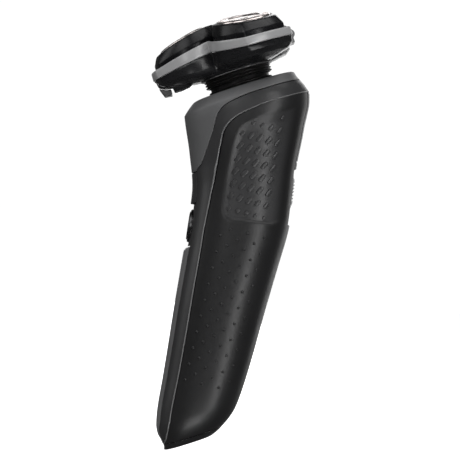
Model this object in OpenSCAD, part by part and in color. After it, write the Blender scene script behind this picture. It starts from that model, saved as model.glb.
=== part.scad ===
// Three-head rotary shaver with a tilting head, a pop-up trimmer and a cordless handle.
// +Z runs up the handle, -Y is the front with the power button, X is the width.
// The origin is the middle of the slanted seat under the handle, at the charging socket.

/* [Handle] */
// Length of the handle, from the seat to the top of the shoulder
handle_l = 141.5; // [124:0.5:175]
// Width across the shoulder
handle_w = 44; // [40:0.5:54]
// Depth of the grip, front to back
handle_d = 36.5; // [36:0.5:45]
// Lean of the seat, the shoulder and the head
lean = 31; // [29:0.5:32]
// Thickness of the outer skins
skin_t = 1.8; // [1.4:0.1:2]
// Gap between neighbouring skins
seam = 0.2; // [0.1:0.05:0.3]
// Depth of the finger recess in the grips
recess_t = 0.8; // [0.3:0.1:1]

/* [Inner parts] */
// Wall of the inner chassis
chassis_t = 1.2; // [0.9:0.1:1.6]
// Diameter of the battery cell
battery_d = 14.2; // [10:0.1:17]
// Length of the battery cell
battery_l = 49; // [38:0.5:60]
// Diameter of the motor
motor_d = 17; // [12:0.5:20]
// Length of the motor can
motor_l = 22; // [16:0.5:27]
// Length of the circuit board
board_l = 44; // [30:0.5:52]
// Diameter of the power button
button_d = 12.5; // [9:0.1:14]
// Travel of the power button
button_travel = 0.6; // [0.3:0.1:0.8]

/* [Trimmer] */
// Width of the trimmer comb
comb_w = 13; // [9:0.5:14]
// Thickness of the trimmer arm
arm_t = 1.2; // [0.8:0.1:1.4]
// Travel of the trimmer slider
slide_travel = 4; // [2:0.5:4.5]

/* [Head] */
// Distance from the middle of the head to the middle of a cap
lobe_pitch = 16; // [15:0.25:19.5]
// Radius of each of the three lobes
lobe_r = 15.1; // [14.2:0.1:18.5]
// Diameter of a shaving cap
cap_d = 20; // [16.5:0.5:21]
// Outward lean of each shaving cap
cap_lean = 14; // [9:0.5:15]
// Outer diameter of the neck bellows
neck_d = 26; // [25:0.5:27]
// Diameter of the neck's pivot pins
pivot_d = 1.6; // [1.2:0.1:1.8]
// Diameter of the head's hinge pin
hinge_d = 1.6; // [1.2:0.1:2]
// Clearance of a pin or shaft that turns in a hole, on the radius
run_gap = 0.05; // [0.02:0.01:0.08]
// Teeth on the middle gear
sun_teeth = 24; // [18:2:30]
// Teeth on each drive gear
planet_teeth = 16; // [12:2:20]

/* [Hidden] */

$fn = 48;
eps = 0.01;

// Sizes that the section table below is drawn at
table_l = 141.5;
table_w = 44;
table_d = 36.5;
fl = handle_l / table_l;
fw = handle_w / table_w;
fd = handle_d / table_d;

// Sections of the handle: station from the seat, front edge, back edge, half width
sections = [
    [0, -11.7, 4.8, 8], [1.5, -12, 6.7, 9.4], [3, -12.8, 7.9, 10.6], [5, -13.9, 9.3, 11.9],
    [8, -15.6, 10.6, 13.2], [12, -16.9, 11.3, 14.2], [20, -18, 12, 15.1], [30, -18.6, 12.5, 15.8],
    [45, -19.7, 13, 16.9], [60, -20.9, 13.7, 18], [75, -21.9, 14.4, 18.8], [90, -22.9, 13, 19.1],
    [100, -23.9, 11.8, 19.3], [105, -24.5, 11.5, 19.6], [112, -26.1, 11.3, 20.2],
    [118, -27.9, 11, 20.9], [124, -29.7, 10.9, 21.5], [130, -31.7, 9.9, 21.9],
    [134, -33, 7.6, 22], [137, -33.9, 5.4, 21.8], [139, -33.2, 3.8, 20.9], [141.5, -31.8, 2.2, 19]
];
// Power of the rounded sections: 2 is an ellipse, more is squarer
squareness = 2.4;

front_tab = [for (r = sections) [r[0], r[1] * fd]];
back_tab = [for (r = sections) [r[0], r[2] * fd]];
width_tab = [for (r = sections) [r[0], r[3] * fw]];

// Edges of the skins: station and angle, -90 at the front, 0 at the side, 90 at the back
outer_seam = [
    [2.6, -80], [5, -72], [9, -66], [14, -60], [30, -60], [50, -60], [70, -60], [85, -60],
    [100, -60], [112, -62], [114.1, -52], [119.5, -41], [126.8, -31], [131.8, -25],
    [134.8, -17], [136, -7], [136.9, 8], [137, 30], [137, 60], [137, 90]
];
grip_seam = [
    [2.6, -72], [5, -52], [9.5, -38], [14, -35], [30, -34], [50, -34.5], [70, -36], [85, -36.5],
    [100, -33], [110, -29], [114, -26.5], [119.6, -23], [124.7, -20], [127, -15.5],
    [129, -8], [130.3, 2], [131, 15], [131, 32], [131, 60], [131, 90]
];
seam_a = seam * 57.3 / 20;
panel_edge = [[2.6, -81], [5, -73], [9, -67], [14, -61], [112, -61]];
recess_front = [[80, 4], [85.6, -1], [89.4, -14], [94.2, -18], [104.4, -18], [114.4, -14],
                [120.9, -10], [124.5, -7], [126.7, 8]];
recess_back = 46;
recess_foot = [[-18, 93], [-14, 89.4], [-1, 85.6], [20, 82], [37, 80.1], [46, 80]];
recess_top = 126.6;

// Depths below the outer surface
panel_drop = 1.2;
chassis_out = 3.2;
chassis_in = chassis_out + chassis_t;
track_out = 1.8;
track_in = 2.8;
cover_t = 1.6;
pin_drop = cover_t + arm_t / 2 + 0.9;
well_out = pin_drop + 1.1;
well_in = well_out + 0.7;

// The stretches of the back
back_edge = 72;
strip_edge = 84;
track_from = 78.4;
track_to = 97.2;
slider_from = track_from + slide_travel + 2.1;
slider_to = 98.2;
cover_from = 100.4;
cover_to = 130.4;

// Neck and head, in their own frame on the leaning neck axis
neck_rise = 2.13;
neck_y = -16.33 * fd;
neck_z = handle_l + neck_rise + neck_y * tan(lean);
shoulder_h = -neck_rise * cos(lean);
neck_r = neck_d / 2;
collar_r = neck_r - 1.6;
collar_t = 0.7;
pivot_h = 1.9;
pivot_r = pivot_d / 2;
ear_t = 1.5;
ear_gap = 0.4;
ear_out = collar_r - collar_t - 0.9;
ear_in = ear_out - ear_t;
gimbal_out = ear_in - ear_gap;
gimbal_in = gimbal_out - 1.6;
yoke_h = 4.6;
yoke_t = 1.4;
yoke_r = neck_r - 1.9;
shaft_r = 1.3;

// Head heights, measured along the neck axis
bezel_low = 10.3;
bezel_high = 13.5;
arch_low = 3.4;
arch_high = 4.5;
arch_from = 19;
bezel_t = 1.6;
head_top = 25.6;
gear_h = 7.7;
gear_t = 1.5;
cover_h = 9.5;
cover_plate_t = 0.8;
frame_h = 10.6;
frame_t = 0.9;
cap_h = head_top - lobe_pitch * tan(cap_lean);
cap_r = cap_d / 2;
hub_drop = 5.2;
spindle_pitch = lobe_pitch - hub_drop * sin(cap_lean);
spindle_top = cap_h - hub_drop * cos(cap_lean) + 0.6;
spindle_r = 1.3;
gear_module = 2 * spindle_pitch / (sun_teeth + planet_teeth);
sun_r = gear_module * sun_teeth / 2;
planet_r = gear_module * planet_teeth / 2;
lobes = [-90, 30, 150];
corner_share = 0.35;
corner_a = 38;
hinge_s = lobe_pitch / 2 + lobe_r + 0.1;
hinge_h = 11.9;
hinge_r = hinge_d / 2;
knuckle_r = hinge_r + 0.9;

// Rows and columns of the curved skins
head_cols = [for (i = [0:47]) -90 + 7.5 * i];

// A signed power, for rounded sections
function spow(v, e) = sign(v) * pow(abs(v), e);

// Angle folded to the right half
function fold(a) = a > 90 ? 180 - a : a;

// A point of the handle: station u, angle a, depth d below the outer surface
function hull_point(u, a, d) =
    let (f = lookup(u, front_tab), b = lookup(u, back_tab), w = lookup(u, width_tab),
         y = (f + b) / 2 + ((b - f) / 2 - d) * spow(sin(a), 2 / squareness))
    [(w - d) * spow(cos(a), 2 / squareness), y, u * fl + y * tan(lean)];

// A point in the head's frame: across, towards the back, up the neck
function head_point(x, s, h) =
    [x, neck_y + s * cos(lean) - h * sin(lean), neck_z + s * sin(lean) + h * cos(lean)];

// Evenly spaced numbers from a to b in n steps
function steps(a, b, n) = [for (i = [0:n]) a + (b - a) * i / n];

// Depth of the finger recess at a station and angle
function recess(u, a) =
    let (e = min((a - lookup(u, recess_front)) / 4, (recess_back - a) / 5,
                 (recess_top - u) / 2, (u - lookup(a, recess_foot)) / 3))
    recess_t * min(1, max(0, e));

// Angle between a direction and the nearest lobe
function lobe_off(a) = (a + 870) % 120 - 60;

// How far a lobe stands out of its circle, with a soft corner to each side of its end
function corner(p) =
    let (q = abs(p) < corner_a ? abs(p) : max(0, 2 * corner_a - abs(p)))
    corner_share * lobe_r * (1 / cos(q) - 1);

// Radius of the three-lobed outline in a direction
function rim(a) =
    let (o = lobe_off(a),
         r = lobe_pitch * cos(o) + sqrt(max(0, pow(lobe_r, 2) - pow(lobe_pitch * sin(o), 2))))
    r + corner(atan2(r * sin(o), r * cos(o) - lobe_pitch));

// 0 at the end of a lobe, 1 at a waist between lobes
function arch(a) = max(0, (abs(lobe_off(a)) - arch_from) / (60 - arch_from));

// A ring in the head's frame from a radius and a height for each column
function polar(r, a, h) = [r * cos(a), r * sin(a), h];

// Two triangles of a quad, and a wall between an outer and an inner edge
function quad(a, b, c, d) = [[a, d, c], [a, c, b]];

// A sheet between an outer and an inner grid of points, with an optional window of cells
module sheet(out, inn, window = [0, 0, 0, 0]) {
    ni = len(out) - 1;
    nj = len(out[0]) - 1;
    m = nj + 1;
    o = (ni + 1) * m;
    function open(i, j) =
        i < 0 || j < 0 || i >= ni || j >= nj
        || (i >= window[0] && i < window[1] && j >= window[2] && j < window[3]);
    cells = [for (i = [0:ni - 1], j = [0:nj - 1]) if (!open(i, j)) [i, j]];
    polyhedron(
        points = concat([for (r = out) each r], [for (r = inn) each r]),
        faces = [for (c = cells)
            let (i = c[0], j = c[1], a = i * m + j, b = a + 1, d = a + m, e = d + 1)
            each concat(
                quad(a, b, e, d),
                quad(o + b, o + a, o + d, o + e),
                open(i - 1, j) ? quad(o + a, o + b, b, a) : [],
                open(i + 1, j) ? quad(d, e, o + e, o + d) : [],
                open(i, j - 1) ? quad(o + a, a, d, o + d) : [],
                open(i, j + 1) ? quad(b, o + b, o + e, e) : []
            )]
    );
}

// A closed solid from rings that run up the outside, over the top and down the inside
module ring_solid(rings) {
    n = len(rings);
    m = len(rings[0]);
    polyhedron(
        points = [for (r = rings) each r],
        faces = [for (i = [0:n - 1], j = [0:m - 1])
            let (k = (i + 1) % n, l = (j + 1) % m)
            each quad(i * m + j, i * m + l, k * m + l, k * m + j)]
    );
}

// A patch of the handle's surface between two depths
module hull_patch(rows, cols, d0, d1) {
    sheet([for (u = rows) [for (a = cols) hull_point(u, a, d0)]],
          [for (u = rows) [for (a = cols) hull_point(u, a, d1)]]);
}

module on_seat() {
    rotate([lean, 0, 0]) children();
}

module on_head() {
    translate([0, neck_y, neck_z]) rotate([lean, 0, 0]) children();
}

module on_lobe(k) {
    on_head() rotate([0, 0, lobes[k]]) translate([lobe_pitch, 0, cap_h])
        rotate([0, cap_lean, 0]) children();
}

// Both sides of the width
module both_sides() {
    children();
    mirror([1, 0, 0]) children();
}

module tube(ro, ri, h) {
    difference() {
        cylinder(r = ro, h = h);
        translate([0, 0, -1]) cylinder(r = ri, h = h + 2);
    }
}

// ---------------------------------------------------------------- outer skins

shoulder_cols = [-90, -80, -70, -62, -52, -46, -41, -36, -31, -28, -25, -21, -17, -12, -7, 0, 8,
                 20, 32, 46, 60, 75];
shoulder_edge = [[-90, 112.3], [-62, 112.3], [-52, 114.4], [-41, 119.8], [-31, 127.1],
                 [-25, 132.1], [-17, 135.1], [-7, 136.3], [8, 137.2], [90, 137.3]];
shoulder_ring = concat(shoulder_cols, [90],
                       [for (i = [len(shoulder_cols) - 1:-1:1]) 180 - shoulder_cols[i]]);

module shoulder_cover() {
    function low(a) = lookup(fold(a), shoulder_edge);
    function row(v, top, d) =
        [for (a = shoulder_ring) hull_point(low(a) + v * (top - low(a)), a, d)];
    hole_r = collar_r + 0.5;
    function hole(h) =
        [for (a = shoulder_ring) head_point(hole_r * cos(a), hole_r * sin(a), h)];
    color("DimGray")
    ring_solid([
        row(0, 138.4, 0), row(0.35, 138.4, 0), row(0.7, 138.4, 0), row(1, 138.4, 0),
        [for (a = shoulder_ring) hull_point(141.5, a, 0)],
        hole(shoulder_h), hole(shoulder_h - skin_t),
        [for (a = shoulder_ring) hull_point(139.2, a, skin_t + 0.4)],
        row(1, 138, skin_t), row(0.5, 138, skin_t), row(0, 138, skin_t)
    ]);
}

module side_frame() {
    n = len(outer_seam) - 1;
    right = [for (i = [0:n]) [outer_seam[i], grip_seam[i]]];
    // The band runs up the right side, round the back and down the left side
    function across(p, v, d) =
        hull_point(p[0][0] + v * (p[1][0] - p[0][0]),
                   p[0][1] + seam_a + v * (p[1][1] - p[0][1] - 2 * seam_a), d);
    function flip(p) = [-p[0], p[1], p[2]];
    function grid(d) = concat(
        [for (i = [0:n]) [for (v = [0:0.25:1]) across(right[i], v, d)]],
        [for (i = [n - 1:-1:0]) [for (v = [0:0.25:1]) flip(across(right[i], v, d))]]);
    color("DarkSlateGray") sheet(grid(0), grid(skin_t));
}

module front_bridge() {
    function half(u) = 90 + lookup(u, outer_seam) - 2 * seam_a;
    function grid(d) =
        [for (u = [99.6, 103, 107, 112]) [for (v = steps(-1, 1, 8)) hull_point(u, -90 + v * half(u), d)]];
    color("DarkSlateGray") sheet(grid(0), grid(skin_t));
}

// Station of the middle of the power button, and the rise of the face for each station there
button_u = 90.4;
face_low = hull_point(button_u - 5, -90, 0);
face_high = hull_point(button_u + 5, -90, 0);
face_rise = (face_high[2] - face_low[2]) / 10;

// A flat round seat for the button, with a plate around it that follows the handle
module button_plate() {
    n = 40;
    from = 82.2;
    to = 99.2;
    half = 29;
    // Points run round the button hole, then out to the plate's edge
    function edge(a) =
        let (x = cos(a), y = sin(a), k = 1 / max(abs(x), abs(y)))
        [button_u + (y > 0 ? to - button_u : button_u - from) * y * k, -90 + half * x * k];
    function bore(a) =
        let (r = button_d / 2 + 0.35)
        [button_u + r * sin(a) / face_rise, r * cos(a)];
    // From the hole at v = 0 to the plate's edge at v = 1
    function at(a, v, d) =
        let (p = bore(a), q = edge(a), w = lookup(p[0], width_tab) - d,
             ang = -90 + asin(spow(p[1] / w, squareness / 2)))
        hull_point(p[0] + v * (q[0] - p[0]), ang + v * (q[1] - ang), d);
    turn = [for (i = [0:n - 1]) 360 * i / n];
    color("Gray")
    ring_solid([
        for (v = [1, 0.6, 0.3, 0]) [for (a = turn) at(a, v, panel_drop)],
        for (v = [0, 0.3, 0.6, 1]) [for (a = turn) at(a, v, panel_drop + 1.6)]
    ]);
}

module front_panel() {
    rows = [3, 5, 7, 9.5, 12, 16, 22, 30, 40, 50, 60, 70, 79, 81.8];
    shares = steps(-1, 1, 8);
    function drop(u) = u > 81 ? 0.7 : 0;
    function grid(d) =
        [for (u = rows) [for (v = shares)
            hull_point(u, -90 + v * (90 + lookup(u, panel_edge)), d + (d == 0 ? drop(u) : 0))]];
    color("Gray") sheet(grid(0), grid(skin_t + 0.6));
}

grip_rows = [2.8, 5, 7, 9.5, 14, 22, 30, 40, 50, 60, 70, 77.4, 78.2, 82, 84, 86, 89, 93, 97, 103, 110,
             114, 119.6, 122, 124.7, 127, 129, 130.3, 130.9];

module grip() {
    // Columns run from the front seam, over the recess, to the back edge
    function cols(u) =
        let (f = lookup(u, grip_seam) + 2 * seam_a,
             b = u > 78 ? back_edge - 2 * seam_a : strip_edge - 2 * seam_a,
             r0 = max(f + 1.5, lookup(u, recess_front)), r1 = max(r0 + 2, recess_back - 5))
        concat([f, r0], steps(r0 + 4, r1, 4), [r1 + 5, max(r1 + 8, 60), b]);
    function grid(d) =
        [for (u = grip_rows) [for (a = cols(u)) hull_point(u, a, d > 0 ? d : recess(u, a))]];
    sheet(grid(0), grid(skin_t));
}

module grip_right() {
    color("Black") grip();
}

module grip_left() {
    color("Black") mirror([1, 0, 0]) grip();
}

module back_strip() {
    rows = [2.8, 5, 8, 12, 20, 30, 45, 60, 70, 77.6];
    color("Gray") hull_patch(rows, steps(strip_edge, 180 - strip_edge, 4), 0, skin_t);
}

// The socket's mouth is in the middle of the seat
socket_w = 9;
socket_d = 6;
socket_deep = 8;
pin_x = 1.6;
pin_r = 0.6;

module bottom_cap() {
    cols = [for (i = [0:31]) -90 + 11.25 * i];
    // The square hole round the socket, at a height above the seat
    function mouth(h) =
        [for (a = cols)
            let (k = 1 / max(abs(cos(a)), abs(sin(a))),
                 x = (socket_w / 2 + 0.15) * k * cos(a), y = (socket_d / 2 + 0.15) * k * sin(a))
            [x, y * cos(lean) - h * sin(lean), y * sin(lean) + h * cos(lean)]];
    color("DimGray")
    ring_solid([
        mouth(0),
        [for (a = cols) hull_point(0, a, 0)],
        [for (a = cols) hull_point(1.2, a, 0)],
        [for (a = cols) hull_point(2.4, a, 0)],
        [for (a = cols) hull_point(2.4, a, 1.6)],
        [for (a = cols) hull_point(1.8, a, 2.4)],
        mouth(1.5)
    ]);
}

module charging_socket() {
    color("Black") on_seat() difference() {
        translate([-socket_w / 2, -socket_d / 2, 0]) cube([socket_w, socket_d, socket_deep]);
        translate([-3.4, -1.8, -1]) cube([6.8, 3.6, socket_deep]);
        for (x = [-pin_x, pin_x]) translate([x, 0, 1]) cylinder(r = pin_r, h = socket_deep, $fn = 24);
    }
}

module contact_pins() {
    color("Silver") on_seat() for (x = [-pin_x, pin_x])
        translate([x, 0, 1.2]) cylinder(r = pin_r, h = socket_deep + 0.8, $fn = 24);
}

// ---------------------------------------------------------------- inside the handle

chassis_rows = [9, 14, 22, 32, 45, 60, 75, 84, 97, 105, 112, 118, 124, 129, 133];
chassis_cols = [-178.5, -165, -150, -130, -110, -70, -50, -30, -15, -1.5];

module front_chassis() {
    grid = function (d) [for (u = chassis_rows) [for (a = chassis_cols) hull_point(u, a, d)]];
    color("SlateGray") sheet(grid(chassis_out), grid(chassis_in), [7, 8, 4, 5]);
}

module rear_chassis() {
    rows = [for (u = chassis_rows) if (u < 98) u];
    cols = [1.5, 15, 30, 50, 70, 90, 110, 130, 150, 165, 178.5];
    color("SlateGray") hull_patch(rows, cols, chassis_out, chassis_in);
}

module shoulder_chassis() {
    rows = [for (u = chassis_rows) if (u > 100) u];
    color("SlateGray") both_sides()
        hull_patch(rows, [1.5, 15, 30, 50], chassis_out, chassis_in);
}

battery_u = 11;
battery_r = battery_d / 2;
battery_z = hull_point(battery_u, 90, chassis_in)[2];
battery_y = hull_point(battery_u, 90, chassis_in)[1] - battery_r - 0.5;

module battery_cell() {
    color("SteelBlue") translate([0, battery_y, battery_z]) cylinder(r = battery_r, h = battery_l);
}

module battery_tabs() {
    color("Silver") translate([0, battery_y, battery_z]) {
        translate([-2.5, -3, -0.3]) cube([5, 6, 0.3]);
        translate([-2.5, -3, battery_l]) cube([5, 6, 0.3]);
    }
}

// The button looks square out of the front; its frame points up out of the face
button_c = hull_point(button_u, -90, panel_drop);
face_lean = atan2(face_low[1] - face_high[1], face_high[2] - face_low[2]);

module on_button() {
    translate(button_c) rotate([90 + face_lean, 0, 0]) children();
}

board_drop = chassis_in + 2.4 - panel_drop;

module circuit_board() {
    color("DarkGreen") on_button() translate([-7, 8 - board_l, -board_drop - 1.2])
        cube([14, board_l, 1.2]);
}

module power_switch() {
    color("Silver") on_button() translate([-3, -3, -board_drop]) cube([6, 6, 2.2]);
}

screw_u = [22, 75];
screw_r = 0.9;

module chassis_screws() {
    color("Silver") both_sides() for (u = screw_u) {
        p = hull_point(u, 0, chassis_in);
        translate([p[0] - 2, p[1] - 3.5, p[2]]) rotate([-90, 0, 0]) {
            cylinder(r = screw_r, h = 5, $fn = 24);
            cylinder(r = 1.4, h = 1.2, $fn = 24);
        }
    }
}

// The motor stands nearly upright under the neck and drives it through a joint
motor_lean = 12;
motor_drop = 9;
motor_r = motor_d / 2;
motor_top = head_point(0, 0, -motor_drop);
cup_r = 3.1;

module on_motor() {
    translate(motor_top) rotate([motor_lean, 0, 0]) children();
}

module motor_can() {
    color("Silver") on_motor() difference() {
        union() {
            translate([0, 0, -motor_l]) cylinder(r = motor_r, h = motor_l - 0.6);
            translate([0, 0, -0.6 - eps]) cylinder(r = 3, h = 0.6 + eps);
        }
        translate([0, 0, -motor_l - 1]) cylinder(r = 1 + run_gap, h = motor_l + 2);
    }
}

module motor_clamp() {
    color("DimGray") on_motor() translate([0, 0, -motor_l * 0.7]) difference() {
        translate([-motor_r - 1.6, -3, 0]) cube([motor_d + 3.2, 6, 5]);
        translate([0, 0, -1]) cylinder(r = motor_r, h = 7);
    }
}

module motor_shaft() {
    color("Silver") on_motor() difference() {
        union() {
            translate([0, 0, 1 - motor_l]) cylinder(r = 1, h = motor_l);
            translate([0, 0, 0.3]) cylinder(r = cup_r + 0.6, h = 3.3);
        }
        translate([0, 0, 1.2]) cylinder(r = cup_r, h = 4);
    }
}

// ---------------------------------------------------------------- neck

module neck_collar() {
    color("Black") on_head() translate([0, 0, shoulder_h - skin_t])
        tube(collar_r, collar_r - collar_t, 2.6 - shoulder_h + skin_t);
}

// Two ears along one line, from the inside radius to the outside one
module ears(low, high) {
    both_sides() translate([ear_in, -1.7, low]) cube([ear_t, 3.4, high - low]);
}

module pivot_holes() {
    translate([-20, 0, pivot_h]) rotate([0, 90, 0])
        cylinder(r = pivot_r + run_gap, h = 40, $fn = 32);
}

// Pins that stand inwards from the ears into the gimbal ring
module pivot_pins() {
    both_sides() translate([gimbal_in + 0.2, 0, pivot_h]) rotate([0, 90, 0])
        cylinder(r = pivot_r, h = ear_out - gimbal_in - 0.2, $fn = 32);
}

module neck_base() {
    color("DimGray") on_head() {
        union() {
            translate([0, 0, -3.2]) tube(collar_r - collar_t - 0.1, ear_in - 1, 1.6);
            ears(-2, 3);
            pivot_pins();
        }
    }
}

module gimbal_ring() {
    color("Silver") on_head() difference() {
        translate([0, 0, pivot_h - 1.3]) tube(gimbal_out, gimbal_in, 2.6);
        pivot_holes();
        rotate([0, 0, 90]) pivot_holes();
    }
}

module head_yoke() {
    color("DimGray") on_head() {
        union() {
            translate([0, 0, yoke_h]) tube(yoke_r, shaft_r + run_gap, yoke_t);
            rotate([0, 0, 90]) ears(pivot_h - 1.3, yoke_h + 0.2);
            rotate([0, 0, 90]) pivot_pins();
        }
    }
}

module neck_bellows() {
    folds = 3;
    low = 1.2;
    step = (yoke_h - 0.3 - low) / folds;
    color("Black") on_head() rotate_extrude() polygon(concat(
        [for (i = [0:folds - 1]) each [
            [neck_r - 0.8, low + i * step],
            [neck_r, low + (i + 0.35) * step],
            [neck_r, low + (i + 0.65) * step]]],
        [[neck_r - 0.8, yoke_h - 0.3], [neck_r + 0.5, yoke_h - 0.25], [neck_r + 0.5, yoke_h - 0.02],
         [collar_r + 0.5, yoke_h - 0.02], [collar_r + 0.5, low]]
    ));
}

// The shaft's lower end sits in the cup on the motor shaft
module drive_shaft() {
    color("Silver") on_head() {
        translate([0, 0, -6.3]) cylinder(r = 0.8, h = 2);
        translate([0, 0, -4.4]) cylinder(r = shaft_r, h = gear_h + gear_t + 4.4);
    }
}

// ---------------------------------------------------------------- gears

// A spur gear with slim teeth, the first tooth along +X
module gear(teeth, radius, bore, h) {
    pitch = 360 / teeth;
    tip = radius + 0.8 * gear_module;
    root = radius - 1.05 * gear_module;
    linear_extrude(h) difference() {
        polygon([for (i = [0:teeth - 1]) each [
            [root * cos((i - 0.24) * pitch), root * sin((i - 0.24) * pitch)],
            [tip * cos((i - 0.09) * pitch), tip * sin((i - 0.09) * pitch)],
            [tip * cos((i + 0.09) * pitch), tip * sin((i + 0.09) * pitch)],
            [root * cos((i + 0.24) * pitch), root * sin((i + 0.24) * pitch)]]]);
        circle(r = bore);
    }
}

module middle_gear() {
    color("Ivory") on_head() translate([0, 0, gear_h]) gear(sun_teeth, sun_r, shaft_r, gear_t);
}

// A drive gear and the spindle that stands on it, one turning piece
module drive_gear(k) {
    color("Ivory") on_head() rotate([0, 0, lobes[k]]) translate([spindle_pitch, 0, 0]) {
        translate([0, 0, gear_h]) rotate([0, 0, 180 + 180 / planet_teeth])
            gear(planet_teeth, planet_r, spindle_r, gear_t);
        translate([0, 0, gear_h]) cylinder(r = spindle_r + eps, h = spindle_top - gear_h, $fn = 32);
    }
}

module drive_gear_front() {
    drive_gear(0);
}

module drive_gear_right() {
    drive_gear(1);
}

module drive_gear_left() {
    drive_gear(2);
}

module gear_cover() {
    color("DimGray") on_head() translate([0, 0, cover_h]) linear_extrude(cover_plate_t) difference() {
        union() {
            circle(r = rim(-30) - 2.6);
            for (a = lobes) rotate(a) translate([spindle_pitch, 0]) circle(r = planet_r + 1.6);
        }
        for (a = lobes) rotate(a) translate([spindle_pitch, 0]) circle(r = spindle_r + 0.3);
    }
}

// ---------------------------------------------------------------- head, lower part

function bezel_foot(a) = bezel_low + arch_low * arch(a);
function bezel_lip(a) = bezel_high + arch_high * arch(a);

module hair_chamber() {
    base_r = neck_r + 0.5;
    // A share of the three-lobed outline, kept outside the round base
    function shell(k, least, h) = [for (a = head_cols) polar(max(k * rim(a), base_r + least), a, h)];
    function lip(inset) = [for (a = head_cols) polar(rim(a) - inset, a, bezel_foot(a) - 0.25)];
    color("Black") on_head() ring_solid([
        shell(0, 0, yoke_h),
        shell(0.71, 0.05, 5.6), shell(0.88, 0.1, 6.5), shell(0.965, 0.15, 8.1), lip(0.35),
        lip(1.7),
        shell(0.9, -1.5, 7.9), shell(0.74, -1.6, 6.8),
        shell(0, -2.3, yoke_h + yoke_t), shell(0, -2.3, yoke_h)
    ]);
}

// The hinge stands in the notch between the two rear lobes
hinge_half = 6;
tongue_half = 2.7;

// How far back the rear lobes reach at a distance x from the middle
function notch(x) =
    lobe_pitch / 2 + sqrt(max(0, pow(lobe_r, 2) - pow(lobe_pitch * sin(60) - x, 2)));

module head_hinge_pin() {
    color("Silver") on_head() translate([-hinge_half, hinge_s, hinge_h]) rotate([0, 90, 0])
        cylinder(r = hinge_r, h = 2 * hinge_half, $fn = 32);
}

// A block in the notch between the rear lobes, with two knuckles for the pin
module head_hinge() {
    block_h = hinge_h - knuckle_r - 1.6;
    foot = notch(0.9) + 1.05;
    waist = notch(5.2) + 1.23;
    color("Gray") on_head() difference() {
        union() {
            translate([0, 0, block_h]) linear_extrude(1.3) polygon([
                [-0.9, foot], [0.9, foot], [5.2, waist], [hinge_half, hinge_s + 0.8],
                [-hinge_half, hinge_s + 0.8], [-5.2, waist]]);
            both_sides() translate([3, hinge_s, 0]) {
                translate([0, 0, hinge_h]) rotate([0, 90, 0])
                    cylinder(r = knuckle_r, h = hinge_half - 3, $fn = 32);
                translate([0, -1.1, block_h + 0.2]) cube([hinge_half - 3, 1.8, hinge_h - block_h - 0.2]);
            }
        }
        translate([-9, hinge_s, hinge_h]) rotate([0, 90, 0]) cylinder(r = hinge_r, h = 18, $fn = 32);
    }
}

module release_button() {
    tip = lobe_pitch + lobe_r;
    color("Gray") on_head() translate([-5, 0, 0]) rotate([90, 0, 90])
        linear_extrude(10) polygon([
            [-tip + 1.2, 6.9], [-tip + 2.3, 3.7], [-tip + 5.3, 3.3], [-tip + 5.6, 5.4],
            [-tip + 3.7, 5.7]]);
}

// ---------------------------------------------------------------- head, upper part

module bezel_ring() {
    color("Silver") on_head() ring_solid([
        [for (a = head_cols) polar(rim(a), a, bezel_foot(a))],
        [for (a = head_cols) polar(rim(a), a, bezel_lip(a) - 0.4)],
        [for (a = head_cols) polar(rim(a) - 0.4, a, bezel_lip(a))],
        [for (a = head_cols) polar(rim(a) - bezel_t, a, bezel_lip(a))],
        [for (a = head_cols) polar(rim(a) - bezel_t, a, bezel_foot(a))]
    ]);
}

module head_frame() {
    outer = lobe_r - bezel_t - 1;
    color("DimGray") on_head() translate([0, 0, frame_h]) linear_extrude(frame_t) difference() {
        union() {
            circle(r = rim(-30) - bezel_t - 1);
            for (a = lobes) rotate(a) translate([lobe_pitch - 0.6, 0]) circle(r = outer);
        }
        circle(r = 2);
        for (a = lobes) rotate(a) translate([spindle_pitch, 0]) circle(r = cap_r - 1.2);
    }
}

module head_tongue() {
    root = notch(tongue_half) + 0.03;
    color("Gray") on_head() difference() {
        union() {
            translate([-tongue_half, hinge_s, hinge_h]) rotate([0, 90, 0])
                cylinder(r = knuckle_r, h = 2 * tongue_half, $fn = 32);
            translate([-tongue_half, root, hinge_h + 0.2])
                cube([2 * tongue_half, hinge_s + 1.2 - root, 1.8]);
        }
        translate([-4, hinge_s, hinge_h]) rotate([0, 90, 0])
            cylinder(r = hinge_r + run_gap, h = 8, $fn = 32);
    }
}

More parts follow.
